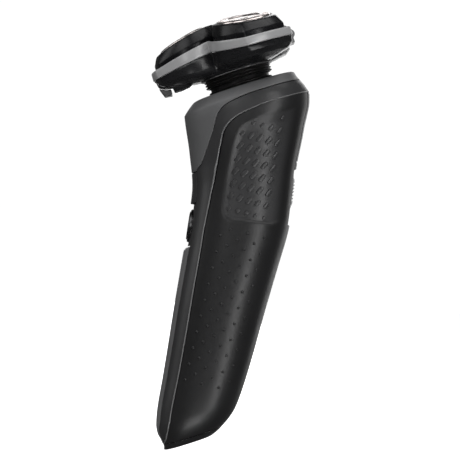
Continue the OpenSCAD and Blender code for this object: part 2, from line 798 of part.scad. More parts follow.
// A faceted petal round one cap, pointed towards the middle of the head
module petal(k) {
    wall = bezel_t + 0.45;
    split = lobe_pitch * sin(60) - 0.45;
    turn = [for (i = [0:35]) -180 + 10 * i];
    function reach(p) =
        let (q = abs(p), r0 = lobe_r - wall + 0.85 * corner(p))
        q > 150 ? split / cos(q - 150) : q > 110 ? r0 + (min(split, r0 + 9) - r0) * (q - 110) / 40 : r0;
    function spot(r, p) = [lobe_pitch + r * cos(p), r * sin(p)];
    function plane(x) = head_top - x * tan(cap_lean);
    function dir(v) = lobes[k] + atan2(v[1], v[0]);
    function foot(r, p) =
        let (v = spot(r, p), t = max(0, min(1, (abs(p) - 150) / 20)))
        (1 - t) * (bezel_lip(dir(v)) - 1.2) + t * (plane(v[0]) - 3);
    function side(r, p) =
        let (v = spot(r, p)) min(plane(v[0]) - 0.7, max(foot(r, p) + 1, bezel_lip(dir(v)) + 2.1));
    function at(r, p, h) = let (v = spot(r, p)) [v[0], v[1], h];
    ring = cap_r + 0.35;
    function hole(p, z) =
        [lobe_pitch + ring * cos(p) * cos(cap_lean) + z * sin(cap_lean), ring * sin(p),
         cap_h - ring * cos(p) * sin(cap_lean) + z * cos(cap_lean)];
    function shoulder(p) =
        let (r = 0.45 * reach(p) + 0.55 * ring, v = spot(r, p))
        at(r, p, plane(v[0]) - 0.15);
    color("Black") on_head() rotate([0, 0, lobes[k]]) ring_solid([
        [for (p = turn) at(reach(p), p, foot(reach(p), p))],
        [for (p = turn) at(reach(p), p, side(reach(p), p))],
        [for (p = turn) shoulder(p)],
        [for (p = turn) hole(p, 0.2)],
        [for (p = turn) hole(p, -1.4)],
        [for (p = turn) at(reach(p) - 1.2, p, foot(reach(p), p))]
    ]);
}

module petal_front() {
    petal(0);
}

module petal_right() {
    petal(1);
}

module petal_left() {
    petal(2);
}

// A domed shaving cap: a raised track round a dished middle
module cap(k) {
    r = cap_r;
    color("LightGray") on_lobe(k) rotate_extrude() polygon([
        [0, 0.3], [r - 3, 0.3], [r - 2.7, 0.9], [r - 0.5, 0.9], [r, 0.4], [r, -1.4],
        [r - 0.5, -1.4], [r - 0.5, 0.2], [r - 0.8, 0.45], [r - 2.4, 0.45], [r - 2.8, -0.2], [0, -0.2]
    ]);
}

module cap_front() {
    cap(0);
}

module cap_right() {
    cap(1);
}

module cap_left() {
    cap(2);
}

// A cutter: a hub with a socket, spokes and a ring that carries the blades
module cutter(k) {
    ring_r = cap_r - 1.3;
    blades = 9;
    color("Silver") on_lobe(k) {
        union() {
            translate([0, 0, -2.5]) linear_extrude(0.9) union() {
                circle(r = 3.3);
                difference() {
                    circle(r = ring_r);
                    circle(r = ring_r - 1.6);
                }
                for (i = [0:blades - 1]) rotate(360 * i / blades)
                    translate([3, -0.6]) square([ring_r - 3.8, 1.2]);
            }
            translate([0, 0, -hub_drop - 0.6]) tube(3.3, 2.5, hub_drop - 1.8);
            translate([0, 0, -1.7]) linear_extrude(1.8) for (i = [0:blades - 1])
                rotate(360 * i / blades) translate([ring_r - 1.3, -0.4]) square([1, 0.8]);
        }
    }
}

module cutter_front() {
    cutter(0);
}

module cutter_right() {
    cutter(1);
}

module cutter_left() {
    cutter(2);
}

// ---------------------------------------------------------------- power button

button_high = 1.3;

module power_button() {
    r = button_d / 2 - 0.9;
    color("DimGray") on_button() {
        translate([0, 0, -0.3]) cylinder(r = r, h = button_high + 0.2);
        translate([0, 0, -board_drop + 2.2 + button_travel + 0.15])
            cylinder(r = 1.6, h = board_drop - 2.5 - button_travel - 0.15 + eps);
    }
}

module button_ring() {
    color("Silver") on_button() translate([0, 0, -0.5])
        tube(button_d / 2, button_d / 2 - 0.75, button_high + 0.3);
}

// ---------------------------------------------------------------- trimmer

back_cols = steps(back_edge + 2 * seam_a, 180 - back_edge - 2 * seam_a, 6);

module slider_track() {
    cols = steps(back_edge + 1, 179 - back_edge, 6);
    color("DimGray") hull_patch(steps(track_from, track_to, 6), cols, track_out, track_in);
}

module trimmer_slider() {
    rows = [slider_from, 87, 90, 93, 96, slider_to];
    rise = [0.7, 0, 0.1, 0.1, 0, 0.6];
    function grid(d) =
        [for (i = [0:5]) [for (a = back_cols) hull_point(rows[i], a, d == 0 ? rise[i] : d)]];
    color("DimGray") sheet(grid(0), grid(1.5));
}

pin_c = hull_point(cover_from + 1.4, 90, pin_drop);
trimmer_top = hull_point(cover_to - 1.5, 90, 0);
back_lean = atan2(pin_c[1] - trimmer_top[1] + pin_drop, trimmer_top[2] - pin_c[2]);
arm_l = norm([trimmer_top[1] - pin_c[1], trimmer_top[2] - pin_c[2]]) - 1;

ear_x = comb_w / 2 - 2.6;
trim_pin_r = 0.5;

// Frame of the trimmer arm: Z up the arm, +Y out of the back
module on_arm() {
    translate(pin_c) rotate([back_lean, 0, 0]) children();
}

module trimmer_well() {
    color("SlateGray") hull_patch([97.6, 101, 105, 112, 118, 124, 129], steps(58, 122, 6),
                                  well_out, well_in);
}

module trimmer_bracket() {
    color("DimGray") both_sides() on_arm() difference() {
        translate([ear_x, -1, -0.8]) cube([1.2, 1.8, 2.2]);
        rotate([0, 90, 0]) cylinder(r = trim_pin_r, h = 12, $fn = 24);
    }
}

module trimmer_pin() {
    color("Silver") on_arm() translate([-ear_x - 1.2, 0, 0]) rotate([0, 90, 0])
        cylinder(r = trim_pin_r, h = 2 * ear_x + 2.4, $fn = 24);
}

module trimmer_arm() {
    half = ear_x - 0.2;
    color("DimGray") on_arm() difference() {
        union() {
            translate([-half, 0, 0]) rotate([0, 90, 0]) cylinder(r = 0.95, h = 2 * half, $fn = 32);
            translate([-half, -arm_t / 2, 0]) cube([2 * half, arm_t, arm_l - 3]);
        }
        translate([-20, 0, 0]) rotate([0, 90, 0]) cylinder(r = trim_pin_r + run_gap, h = 40, $fn = 24);
    }
}

module trimmer_cover() {
    rows = [cover_from, 103, 107, 112, 118, 124, 128, cover_to];
    color("DimGray") hull_patch(rows, back_cols, 0, cover_t);
}

// A flat comb with teeth along its top edge
module comb(w, low, high, teeth) {
    pitch = w / (teeth + 0.5);
    rotate([90, 0, 0]) linear_extrude(0.5) difference() {
        translate([-w / 2, low]) square([w, high - low]);
        for (i = [0:teeth - 1])
            translate([-w / 2 + (i + 0.5) * pitch, high - 1.2]) square([pitch * 0.5, 2]);
    }
}

module trimmer_comb() {
    color("Silver") on_arm() translate([0, arm_t / 2 - 0.1, 0]) comb(comb_w, arm_l - 2.9, arm_l, 16);
}

module trimmer_blade() {
    color("Silver") on_arm() translate([0, arm_t / 2 - 0.65, 0])
        comb(comb_w - 2, arm_l - 2.7, arm_l - 0.3, 13);
}

shoulder_cover();
side_frame();
front_bridge();
button_plate();
front_panel();
grip_left();
grip_right();
back_strip();
bottom_cap();
charging_socket();
contact_pins();
front_chassis();
rear_chassis();
shoulder_chassis();
chassis_screws();
battery_cell();
battery_tabs();
circuit_board();
power_switch();
motor_can();
motor_clamp();
neck_collar();
neck_base();
power_button();
button_ring();
slider_track();
trimmer_slider();
trimmer_well();
trimmer_bracket();
trimmer_pin();
trimmer_cover();
trimmer_arm();
trimmer_comb();
trimmer_blade();
motor_shaft();
drive_shaft();
middle_gear();
gimbal_ring();
head_yoke();
neck_bellows();
hair_chamber();
gear_cover();
head_hinge();
head_hinge_pin();
drive_gear_front();
drive_gear_right();
drive_gear_left();
release_button();
bezel_ring();
head_frame();
head_tongue();
petal_front();
petal_right();
petal_left();
cap_front();
cap_right();
cap_left();
cutter_front();
cutter_right();
cutter_left();
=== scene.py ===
"""Look of a cordless rotary shaver: skins, grips, button, trimmer, neck and three-cap head."""

import math
from bisect import bisect_right

import bmesh
import bpy
from bpy.props import FloatProperty, FloatVectorProperty, IntProperty, PointerProperty
from mathutils import Matrix, Vector


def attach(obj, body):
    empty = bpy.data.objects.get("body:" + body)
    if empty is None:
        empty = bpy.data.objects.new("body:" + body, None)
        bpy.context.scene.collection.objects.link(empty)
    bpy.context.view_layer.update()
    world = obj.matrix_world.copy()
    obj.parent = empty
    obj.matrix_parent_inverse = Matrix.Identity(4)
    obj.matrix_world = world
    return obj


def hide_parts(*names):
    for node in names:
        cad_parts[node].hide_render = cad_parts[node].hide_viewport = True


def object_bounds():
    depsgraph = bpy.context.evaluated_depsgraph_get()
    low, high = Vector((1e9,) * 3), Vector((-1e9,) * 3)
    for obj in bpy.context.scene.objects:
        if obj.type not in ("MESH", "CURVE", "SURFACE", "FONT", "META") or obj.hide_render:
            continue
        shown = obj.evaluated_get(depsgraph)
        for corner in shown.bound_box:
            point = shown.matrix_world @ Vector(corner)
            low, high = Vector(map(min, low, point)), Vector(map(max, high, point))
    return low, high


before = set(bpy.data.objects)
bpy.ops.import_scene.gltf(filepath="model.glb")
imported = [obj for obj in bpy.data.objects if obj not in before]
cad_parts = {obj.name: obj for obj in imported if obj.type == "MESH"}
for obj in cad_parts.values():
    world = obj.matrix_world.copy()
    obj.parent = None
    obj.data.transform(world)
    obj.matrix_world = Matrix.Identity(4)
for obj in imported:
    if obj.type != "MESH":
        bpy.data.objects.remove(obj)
cad_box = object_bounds()

bl_info = {
    "name": "Rotary Shaver",
    "version": (1, 0, 0),
    "blender": (4, 5, 0),
    "location": "View3D > Sidebar > Shaver",
    "description": "Builds the skins, head and finishes of a cordless rotary shaver",
    "category": "Object",
}

MM = 0.001


# ---- curves of the handle


def cosd(a):
    return math.cos(math.radians(a))


def sind(a):
    return math.sin(math.radians(a))


class Curve:
    """A smooth curve through points, without overshoot between them."""

    def __init__(self, points):
        self.x = [p[0] for p in points]
        self.y = [p[1] for p in points]
        rise = [
            (self.y[i + 1] - self.y[i]) / (self.x[i + 1] - self.x[i])
            for i in range(len(points) - 1)
        ]
        self.m = [rise[0]]
        for r, s in zip(rise, rise[1:]):
            self.m.append(0.0 if r * s <= 0 else 2 * r * s / (r + s))
        self.m.append(rise[-1])

    def __call__(self, x):
        if x <= self.x[0]:
            return self.y[0]
        if x >= self.x[-1]:
            return self.y[-1]
        i = bisect_right(self.x, x) - 1
        h = self.x[i + 1] - self.x[i]
        t = (x - self.x[i]) / h
        return (
            (1 + 2 * t) * (1 - t) ** 2 * self.y[i]
            + t * (1 - t) ** 2 * h * self.m[i]
            + t * t * (3 - 2 * t) * self.y[i + 1]
            + t * t * (t - 1) * h * self.m[i + 1]
        )


def table(points, x):
    """Straight lines between points."""
    if x <= points[0][0]:
        return points[0][1]
    for p, q in zip(points, points[1:]):
        if x <= q[0]:
            return p[1] + (q[1] - p[1]) * (x - p[0]) / (q[0] - p[0])
    return points[-1][1]


LEAN = math.radians(31)
SECTIONS = [
    (0, -11.7, 4.8, 8), (1.5, -12, 6.7, 9.4), (3, -12.8, 7.9, 10.6), (5, -13.9, 9.3, 11.9),
    (8, -15.6, 10.6, 13.2), (12, -16.9, 11.3, 14.2), (20, -18, 12, 15.1), (30, -18.6, 12.5, 15.8),
    (45, -19.7, 13, 16.9), (60, -20.9, 13.7, 18), (75, -21.9, 14.4, 18.8), (90, -22.9, 13, 19.1),
    (100, -23.9, 11.8, 19.3), (105, -24.5, 11.5, 19.6), (112, -26.1, 11.3, 20.2),
    (118, -27.9, 11, 20.9), (124, -29.7, 10.9, 21.5), (130, -31.7, 9.9, 21.9),
    (134, -33, 7.6, 22), (137, -33.9, 5.4, 21.8), (139, -33.2, 3.8, 20.9), (141.5, -31.8, 2.2, 19),
]
# The front has a crisp corner where the shoulder's chamfer starts
BROW = [(136.5, -33.76), (137.4, -33.8)]
FRONT = Curve(sorted([(s[0], s[1]) for s in SECTIONS] + BROW))
BACK = Curve([(s[0], s[2]) for s in SECTIONS])
WIDTH = Curve([(s[0], s[3]) for s in SECTIONS])
ROUND = 2 / 2.4

OUTER_SEAM = [
    (2.6, -80), (5, -72), (9, -66), (14, -60), (30, -60), (50, -60), (70, -60), (85, -60),
    (100, -60), (112, -62), (114.1, -52), (119.5, -41), (126.8, -31), (131.8, -25),
    (134.8, -17), (136, -7), (136.9, 8), (137, 30), (137, 60), (137, 90),
]
GRIP_SEAM = [
    (2.6, -72), (5, -52), (9.5, -38), (14, -35), (30, -34), (50, -34.5), (70, -36), (85, -36.5),
    (100, -33), (110, -29), (114, -26.5), (119.6, -23), (124.7, -20), (127, -15.5),
    (129, -8), (130.3, 2), (131, 15), (131, 32), (131, 60), (131, 90),
]
SEAM_A = 0.573
BACK_EDGE = 72
STRIP_EDGE = 84
PANEL_EDGE = Curve([(2.6, -81), (5, -73), (9, -67), (14, -61), (112, -61)])
PANEL_DROP = 1.2
RECESS_FRONT = Curve(
    [(80, 4), (85.6, -1), (89.4, -14), (94.2, -18), (104.4, -18), (114.4, -14), (120.9, -10),
     (124.5, -7), (126.7, 8)]
)
RECESS_FOOT = Curve([(-18, 93), (-14, 89.4), (-1, 85.6), (20, 82), (37, 80.1), (46, 80)])
RECESS_DEPTH = 0.76
DASH_TURN = math.radians(59)
DASH_ROWS = 9
DOT_FIELD = 64
BUTTON_U = 90.4

# Neck and head, in their own frame on the leaning neck axis
NECK_Y = -16.33
NECK_Z = 133.818
SHOULDER_H = -1.826
NECK_HOLE_R = 11.9
BIB_FOOT = 112.3
SHOULDER_TOP = 138.3
LOBES = {"front": -90, "right": 30, "left": 150}
PITCH = 16.0
LOBE_R = 15.1
CORNER = 38  # degrees from a lobe's end to the middle of its corner
CORNER_SHARE = 0.35
CORNER_SOFT = 1.2
WAIST_SOFT = 1.6
CAP_R = 10.0
CAP_LEAN = math.radians(14)
HEAD_TOP = 25.6
CAP_H = HEAD_TOP - PITCH * math.tan(CAP_LEAN)
BEZEL_T = 1.6
SLOT_STEPS = 5  # columns to a slot and its bar, of which SLOT_OPEN are cut out
SLOT_OPEN = 3


def spow(v, e):
    return math.copysign(abs(v) ** e, v)


def skin(u, a, d=0.0):
    """A point of the handle: station u and depth d in mm, angle a in degrees."""
    f, b, w = FRONT(u), BACK(u), WIDTH(u)
    y = (f + b) / 2 + ((b - f) / 2 - d) * spow(sind(a), ROUND)
    x = (w - d) * spow(cosd(a), ROUND)
    return Vector((x, y, u + y * math.tan(LEAN))) * MM


def skin_normal(u, a):
    du = skin(u + 0.2, a) - skin(u - 0.2, a)
    da = skin(u, a + 0.4) - skin(u, a - 0.4)
    n = da.cross(du).normalized()
    return n if n.x * cosd(a) + n.y * sind(a) > 0 else -n


def head(x, s, h):
    """A point in the head's frame: across, towards the back, up the neck, in mm."""
    return Vector((x, NECK_Y + s * math.cos(LEAN) - h * math.sin(LEAN),
                   NECK_Z + s * math.sin(LEAN) + h * math.cos(LEAN))) * MM


def head_matrix():
    return Matrix.Translation((0, NECK_Y * MM, NECK_Z * MM)) @ Matrix.Rotation(LEAN, 4, "X")


def cap_matrix(k):
    """The frame of a shaving cap: its +Z looks out of the cap."""
    return (
        head_matrix()
        @ Matrix.Rotation(math.radians(LOBES[k]), 4, "Z")
        @ Matrix.Translation((PITCH * MM, 0, CAP_H * MM))
        @ Matrix.Rotation(CAP_LEAN, 4, "Y")
    )


def button_matrix():
    """The frame of the power button: its +Z looks out of the front."""
    low, high = skin(BUTTON_U - 5, -90), skin(BUTTON_U + 5, -90)
    lean = math.atan2(low.y - high.y, high.z - low.z)
    return Matrix.Translation(skin(BUTTON_U, -90, PANEL_DROP)) @ Matrix.Rotation(
        math.pi / 2 + lean, 4, "X"
    )


def seam_curves(points):
    """Station and angle along a seam, over the number of the point."""
    return [Curve([(i, p[axis]) for i, p in enumerate(points)]) for axis in (0, 1)]


def dense(points, n=24):
    """Many points of the smooth curve through a seam's points."""
    us, angles = seam_curves(points)
    return [(us(i / n), angles(i / n)) for i in range(n * (len(points) - 1) + 1)]


OUTER_LINE = dense(OUTER_SEAM)
GRIP_LINE = dense(GRIP_SEAM)
OUTER_BY_U = [p for p in OUTER_LINE if p[0] < 136.95]
GRIP_BY_U = [p for p in GRIP_LINE if p[0] < 130.98]
OUTER_BY_A = [(a, u) for u, a in OUTER_LINE if u > 112 and a > -62]


def ease(x):
    """From 0 to 1 with soft ends, while x goes from 0 to 1."""
    x = min(1.0, max(0.0, x))
    return x * x * (3 - 2 * x)


def recess_depth(u, a):
    """Depth of the finger recess: soft sides, a crisper foot."""
    side = ease((a - RECESS_FRONT(u) + 1) / 9) * ease((62 - a) / 34)
    ends = ease((127.4 - u) / 7), ease((u - RECESS_FOOT(a)) / 1.7)
    return RECESS_DEPTH * side * ends[0] * ends[1]


def corner(p):
    """How far a lobe stands out of its circle: a soft corner to each side of its end."""
    q = CORNER - math.hypot(CORNER - abs(p), CORNER_SOFT) if abs(p) < 2 * CORNER else 0.0
    return CORNER_SHARE * LOBE_R * (1 / cosd(max(0.0, q)) - 1)


def near_waist(a):
    """Angle from the middle of the nearest lobe, up to 60, slightly rounded at the waist."""
    from_lobe = (a + 870) % 120 - 60
    return 60 - math.hypot(60 - abs(from_lobe), WAIST_SOFT)


def rim(a):
    """Radius of the three-lobed outline, its waists and corners slightly rounded."""
    o = math.radians(near_waist(a))
    r = PITCH * math.cos(o) + math.sqrt(max(0.0, LOBE_R**2 - (PITCH * math.sin(o)) ** 2))
    return r + corner(math.degrees(math.atan2(r * math.sin(o), r * math.cos(o) - PITCH)))


def arch(a):
    """0 at the end of a lobe, 1 at a waist between lobes."""
    t = (near_waist(a) - 19) / 41
    return (t + math.hypot(t, 0.05)) / 2


def bezel_foot(a):
    return 10.3 + 3.4 * arch(a)


def bezel_lip(a):
    return 13.5 + 4.5 * arch(a)


def polar(r, a, h):
    return head(r * cosd(a), r * sind(a), h)


def level(u, d=0.0):
    """A ring of the handle at one station, d deep."""
    return lambda a: skin(u, a, d)


def squared(a):
    """The direction a on the unit circle, and its factor onto the square round the circle."""
    x, y = cosd(a), sind(a)
    return x, y, 1 / max(abs(x), abs(y))


# ---- mesh tools


def patch(nu, nv, place):
    """A grid bent to place(s, t), with s and t from 0 to 1."""
    bm = bmesh.new()
    bmesh.ops.create_grid(bm, x_segments=nu, y_segments=nv, size=1)
    for v in bm.verts:
        v.co = place((v.co.x + 1) / 2, (v.co.y + 1) / 2)
    bmesh.ops.remove_doubles(bm, verts=bm.verts[:], dist=1e-7)
    return bm


def loft(n, rings, start=0.0):
    """A closed skin through rings, each a function of the angle in degrees, and round again."""
    m = len(rings)

    def place(s, t):
        return rings[round(t * m) % m](start + 360 * (round(s * n) % n) / n)

    bm = patch(n, m, place)
    bmesh.ops.recalc_face_normals(bm, faces=bm.faces[:])
    return bm


def turned(profile, n, matrix, close=False):
    """A profile of (radius, height) points in mm spun round +Z of a frame."""
    bm = bmesh.new()
    verts = [bm.verts.new((r * MM, 0, h * MM)) for r, h in profile]
    edges = [bm.edges.new(pair) for pair in zip(verts, verts[1:])]
    if close:
        edges.append(bm.edges.new((verts[-1], verts[0])))
    bmesh.ops.spin(
        bm, geom=verts + edges, cent=(0, 0, 0), axis=(0, 0, 1), dvec=(0, 0, 0),
        angle=math.tau, steps=n, use_merge=True, use_duplicate=False,
    )
    bmesh.ops.remove_doubles(bm, verts=bm.verts[:], dist=1e-7)
    bmesh.ops.recalc_face_normals(bm, faces=bm.faces[:])
    bmesh.ops.transform(bm, matrix=matrix, verts=bm.verts[:])
    return bm


def on_handle(nu, nv, place):
    """A grid on the handle, its faces turned away from the handle's middle line."""
    bm = patch(nu, nv, place)
    total = 0.0
    for f in bm.faces:
        c = f.calc_center_median()
        f.normal_update()
        middle = Vector((0, -6.0 * MM - max(0.0, c.z - 0.1) * 0.25, c.z))
        total += f.normal.dot(c - middle) * f.calc_area()
    if total < 0:
        bmesh.ops.reverse_faces(bm, faces=bm.faces[:])
    return bm


def make(bm, name, look, body, nodes=(), wall=0.0, edge=0.0, sharp=38):
    """Turns a bmesh into a piece with its finish, its body and the CAD node it stands for."""
    mesh = bpy.data.meshes.new(name)
    bm.to_mesh(mesh)
    bm.free()
    mesh.shade_smooth()
    mesh.set_sharp_from_angle(angle=math.radians(sharp))
    piece = bpy.data.objects.new(name, mesh)
    bpy.context.scene.collection.objects.link(piece)
    mesh.materials.append(finish(look))
    if wall:
        solid = piece.modifiers.new("Wall", "SOLIDIFY")
        solid.thickness = wall * MM
        solid.offset = -1
        solid.use_even_offset = True
    if edge:
        bevel = piece.modifiers.new("Edge", "BEVEL")
        bevel.width = edge * MM
        bevel.segments = 3
        bevel.limit_method = "ANGLE"
        bevel.angle_limit = math.radians(50)
        bevel.harden_normals = True
    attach(piece, body)
    if nodes:
        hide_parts(*nodes)
    return piece


def round_off(bm, edges, offset, segments):
    bmesh.ops.bevel(
        bm, geom=edges, offset=offset, offset_type="OFFSET", segments=segments, profile=0.5,
        affect="EDGES", material=-1,
    )


# ---- finishes


def material(name, rough, metallic=0.0, specular=0.5, coat=0.0, coat_rough=0.1):
    """A new surface with its shader, its tree and its coordinates on the piece."""
    mat = bpy.data.materials.new(name)
    mat.use_nodes = True
    tree = mat.node_tree
    shader = tree.nodes["Principled BSDF"]
    shader.inputs["Roughness"].default_value = rough
    shader.inputs["Metallic"].default_value = metallic
    shader.inputs["Specular IOR Level"].default_value = specular
    shader.inputs["Coat Weight"].default_value = coat
    shader.inputs["Coat Roughness"].default_value = coat_rough
    shader.inputs["IOR"].default_value = 1.45
    coords = tree.nodes.new("ShaderNodeTexCoord").outputs["Object"]
    return mat, tree, shader, coords


def node(tree, kind, values, source=None, socket="Vector"):
    """A new node with its values set and one socket fed from another node."""
    made = tree.nodes.new(kind)
    for name, value in values.items():
        made.inputs[name].default_value = value
    if source is not None:
        tree.links.new(source, made.inputs[socket])
    return made


def noise(tree, coords, scale, detail=3.0, rough=0.55, stretch=None):
    """Noise with about `scale` features per metre, drawn out along an axis if asked."""
    if stretch:
        coords = node(tree, "ShaderNodeMapping", {"Scale": stretch}, coords).outputs["Vector"]
    values = {"Scale": scale, "Detail": detail, "Roughness": rough}
    return node(tree, "ShaderNodeTexNoise", values, coords).outputs["Fac"]


def wear(tree, shader, value, low, high):
    """Roughness from low to high, over the usual range of a noise."""
    values = {"From Min": 0.3, "From Max": 0.7, "To Min": low, "To Max": high}
    spread = node(tree, "ShaderNodeMapRange", values, value, "Value")
    tree.links.new(spread.outputs["Result"], shader.inputs["Roughness"])


def tint(tree, shader, value, colour, dark, light):
    """Base colour between two shades of a colour, by a value."""
    ramp = tree.nodes.new("ShaderNodeValToRGB")
    for element, at, k in zip(ramp.color_ramp.elements, (0.32, 0.68), (dark, light)):
        element.position = at
        element.color = (*(c * k for c in colour), 1)
    tree.links.new(value, ramp.inputs["Fac"])
    tree.links.new(ramp.outputs["Color"], shader.inputs["Base Color"])


def raised(tree, shader, heights):
    """Chains bumps: (value, strength, distance in mm), coarse first."""
    last = None
    for value, strength, distance in heights:
        values = {"Strength": strength, "Distance": distance * MM}
        bump = node(tree, "ShaderNodeBump", values, value, "Height")
        if last:
            tree.links.new(last, bump.inputs["Normal"])
        last = bump.outputs["Normal"]
    tree.links.new(last, shader.inputs["Normal"])


def satin(name, colour, rough=0.42, grain=2600, depth=0.02, specular=0.5, coat=0.0):
    """Moulded satin plastic: a fine spark-eroded grain and faint handling marks."""
    mat, tree, shader, coords = material(name, rough, 0.0, specular, coat, 0.25)
    fine = noise(tree, coords, grain, 2)
    cloud = noise(tree, coords, 55, 4)
    marks = noise(tree, coords, 170, 5, 0.7)
    tint(tree, shader, cloud, colour, 0.9, 1.12)
    wear(tree, shader, marks, rough * 0.88, rough * 1.16)
    raised(tree, shader, [(cloud, 0.06, 0.2), (fine, 0.35, depth)])
    return mat


def rubber(name, colour, recess=None):
    """Soft-touch rubber: matt, finely pebbled, and paler where the recess attribute is 1: painted
    light on the finger recess's floor.
    """
    mat, tree, shader, coords = material(name, 0.38, 0.0, 0.45)
    shader.inputs["Sheen Weight"].default_value = 0.06
    shader.inputs["Sheen Roughness"].default_value = 0.4
    pebble = node(tree, "ShaderNodeTexVoronoi", {"Scale": 1900}, coords)
    cloud = noise(tree, coords, 42, 4)
    dust = noise(tree, coords, 700, 3, 0.7)
    tint(tree, shader, cloud, colour, 0.85, 1.2)
    # Paler colour by the recess attribute: painted light that the tilted recess floor catches
    if recess:
        painted_light_share = tree.nodes.new("ShaderNodeAttribute")
        painted_light_share.attribute_name = "recess"
        mix = tree.nodes.new("ShaderNodeMix")
        mix.data_type = "RGBA"
        mix.inputs[7].default_value = (*recess, 1)
        base = shader.inputs["Base Color"].links[0].from_socket
        tree.links.new(painted_light_share.outputs["Fac"], mix.inputs[0])
        tree.links.new(base, mix.inputs[6])
        tree.links.new(mix.outputs[2], shader.inputs["Base Color"])
    wear(tree, shader, dust, 0.34, 0.42)
    raised(tree, shader, [(cloud, 0.03, 0.1), (pebble.outputs["Distance"], 0.3, 0.03)])
    return mat


def gloss(name, colour, rough=0.1, specular=0.5, coat=0.6):
    """Polished moulding: deep colour, faint flow waviness and fine hairline scuffs."""
    mat, tree, shader, coords = material(name, rough, 0.0, specular, coat, 0.05)
    wave = noise(tree, coords, 70, 2)
    scuff = noise(tree, coords, 500, 4, 0.75, stretch=(1, 0.15, 1))
    tint(tree, shader, wave, colour, 0.85, 1.15)
    wear(tree, shader, scuff, rough * 0.7, rough * 1.5)
    raised(tree, shader, [(wave, 0.05, 0.1), (scuff, 0.06, 0.01)])
    return mat


def metal(name, colour, rough=0.25, brush=(1, 1, 0.04), depth=0.008, metallic=1.0):
    """Metal with a drawn or lapped finish along one axis."""
    mat, tree, shader, coords = material(name, rough, metallic, 0.5)
    lines = noise(tree, coords, 1800, 4, 0.7, stretch=brush)
    cloud = noise(tree, coords, 80, 3)
    tint(tree, shader, cloud, colour, 0.92, 1.06)
    wear(tree, shader, lines, rough * 0.75, rough * 1.3)
    raised(tree, shader, [(lines, 0.25, depth)])
    return mat


def turned_metal(name, colour, matrix, rough=0.22):
    """Metal with the fine rings of a lathe round the axis of a frame."""
    mat, tree, shader, coords = material(name, rough, 1.0, 0.5)
    place = tree.nodes.new("ShaderNodeMapping")
    place.vector_type = "TEXTURE"
    place.inputs["Location"].default_value = matrix.to_translation()
    place.inputs["Rotation"].default_value = matrix.to_euler()
    tree.links.new(coords, place.inputs["Vector"])
    values = {"Scale": 900, "Distortion": 1.2, "Detail": 3}
    rings = node(tree, "ShaderNodeTexWave", values, place.outputs["Vector"])
    rings.wave_type = "RINGS"
    rings.rings_direction = "Z"
    cloud = noise(tree, coords, 160, 3)
    tint(tree, shader, cloud, colour, 0.9, 1.05)
    wear(tree, shader, cloud, rough * 0.8, rough * 1.3)
    raised(tree, shader, [(rings.outputs["Fac"], 0.2, 0.01)])
    return mat


FINISHES = {}


def finish(name):
    """The finish of that name, made when it is first asked for."""
    if name in FINISHES:
        return FINISHES[name]
    c = bpy.context.scene.shaver_colours
    build = {
        "shoulder": lambda: satin("shoulder satin", c.shoulder, 0.44),
        "frame": lambda: satin("side frame satin", c.side_frame, 0.36),
        "panel": lambda: satin("front panel satin", c.panel, 0.34, specular=0.6),
        "grip": lambda: rubber("grip rubber", c.grip, c.recess),
        "bellows": lambda: rubber("bellows rubber", c.bellows),
        "petal": lambda: gloss("petal gloss", c.petal, 0.24, 0.28, 0.0),
        "chamber": lambda: gloss("hair chamber gloss", c.chamber, 0.26, 0.38, 0.0),
        "glossy": lambda: gloss("tab cradle gloss", c.chamber, 0.12, 0.6, 0.2),
        "key": lambda: satin("slider satin", c.panel, 0.3, specular=0.6),
        # Pale grey satin of the raised edge strip: a painted highlight along the frame's inner edge
        "highlight_bead": lambda: satin("bead satin", c.highlight_bead, 0.3, 3200, 0.01, 0.7),
        "bezel": lambda: satin("bezel satin metal", c.bezel, 0.3, 3200, 0.01, 0.9, 0.3),
        "tab": lambda: satin("release tab satin", c.tab, 0.36),
        "track": lambda: satin("track satin", c.track, 0.4),
        "ring": lambda: metal("button ring bright", c.ring, 0.28, (1, 1, 1), 0.004),
        "steel": lambda: metal("blade steel", c.steel, 0.24, (0.05, 1, 1), 0.006),
        "shaft": lambda: metal("inner steel", c.steel, 0.32, (1, 1, 0.1), 0.008),
        "black": lambda: satin("inner black", (0.012, 0.012, 0.013), 0.45),
        "ivory": lambda: satin("gear ivory", (0.62, 0.58, 0.47), 0.38),
        "board": lambda: gloss("circuit board lacquer", (0.012, 0.09, 0.03), 0.25),
        "wrap": lambda: gloss("cell wrap", (0.03, 0.08, 0.2), 0.3),
        "brass": lambda: metal("contact brass", (0.78, 0.6, 0.32), 0.22, (1, 1, 0.1)),
    }
    for k in LOBES:
        build[f"cap {k}"] = lambda k=k: turned_metal(f"cap steel {k}", c.cap, cap_matrix(k))
    FINISHES[name] = build[name]()
    return FINISHES[name]


# ---- sizes and colours


def shade(name, text, value):
    return FloatVectorProperty(
        name=name, description=text, subtype="COLOR", size=3, min=0, max=1, default=value
    )


def length(name, text, value):
    return FloatProperty(
        name=name, description=text, default=value * MM, min=0, precision=5,
        subtype="DISTANCE", unit="LENGTH",
    )


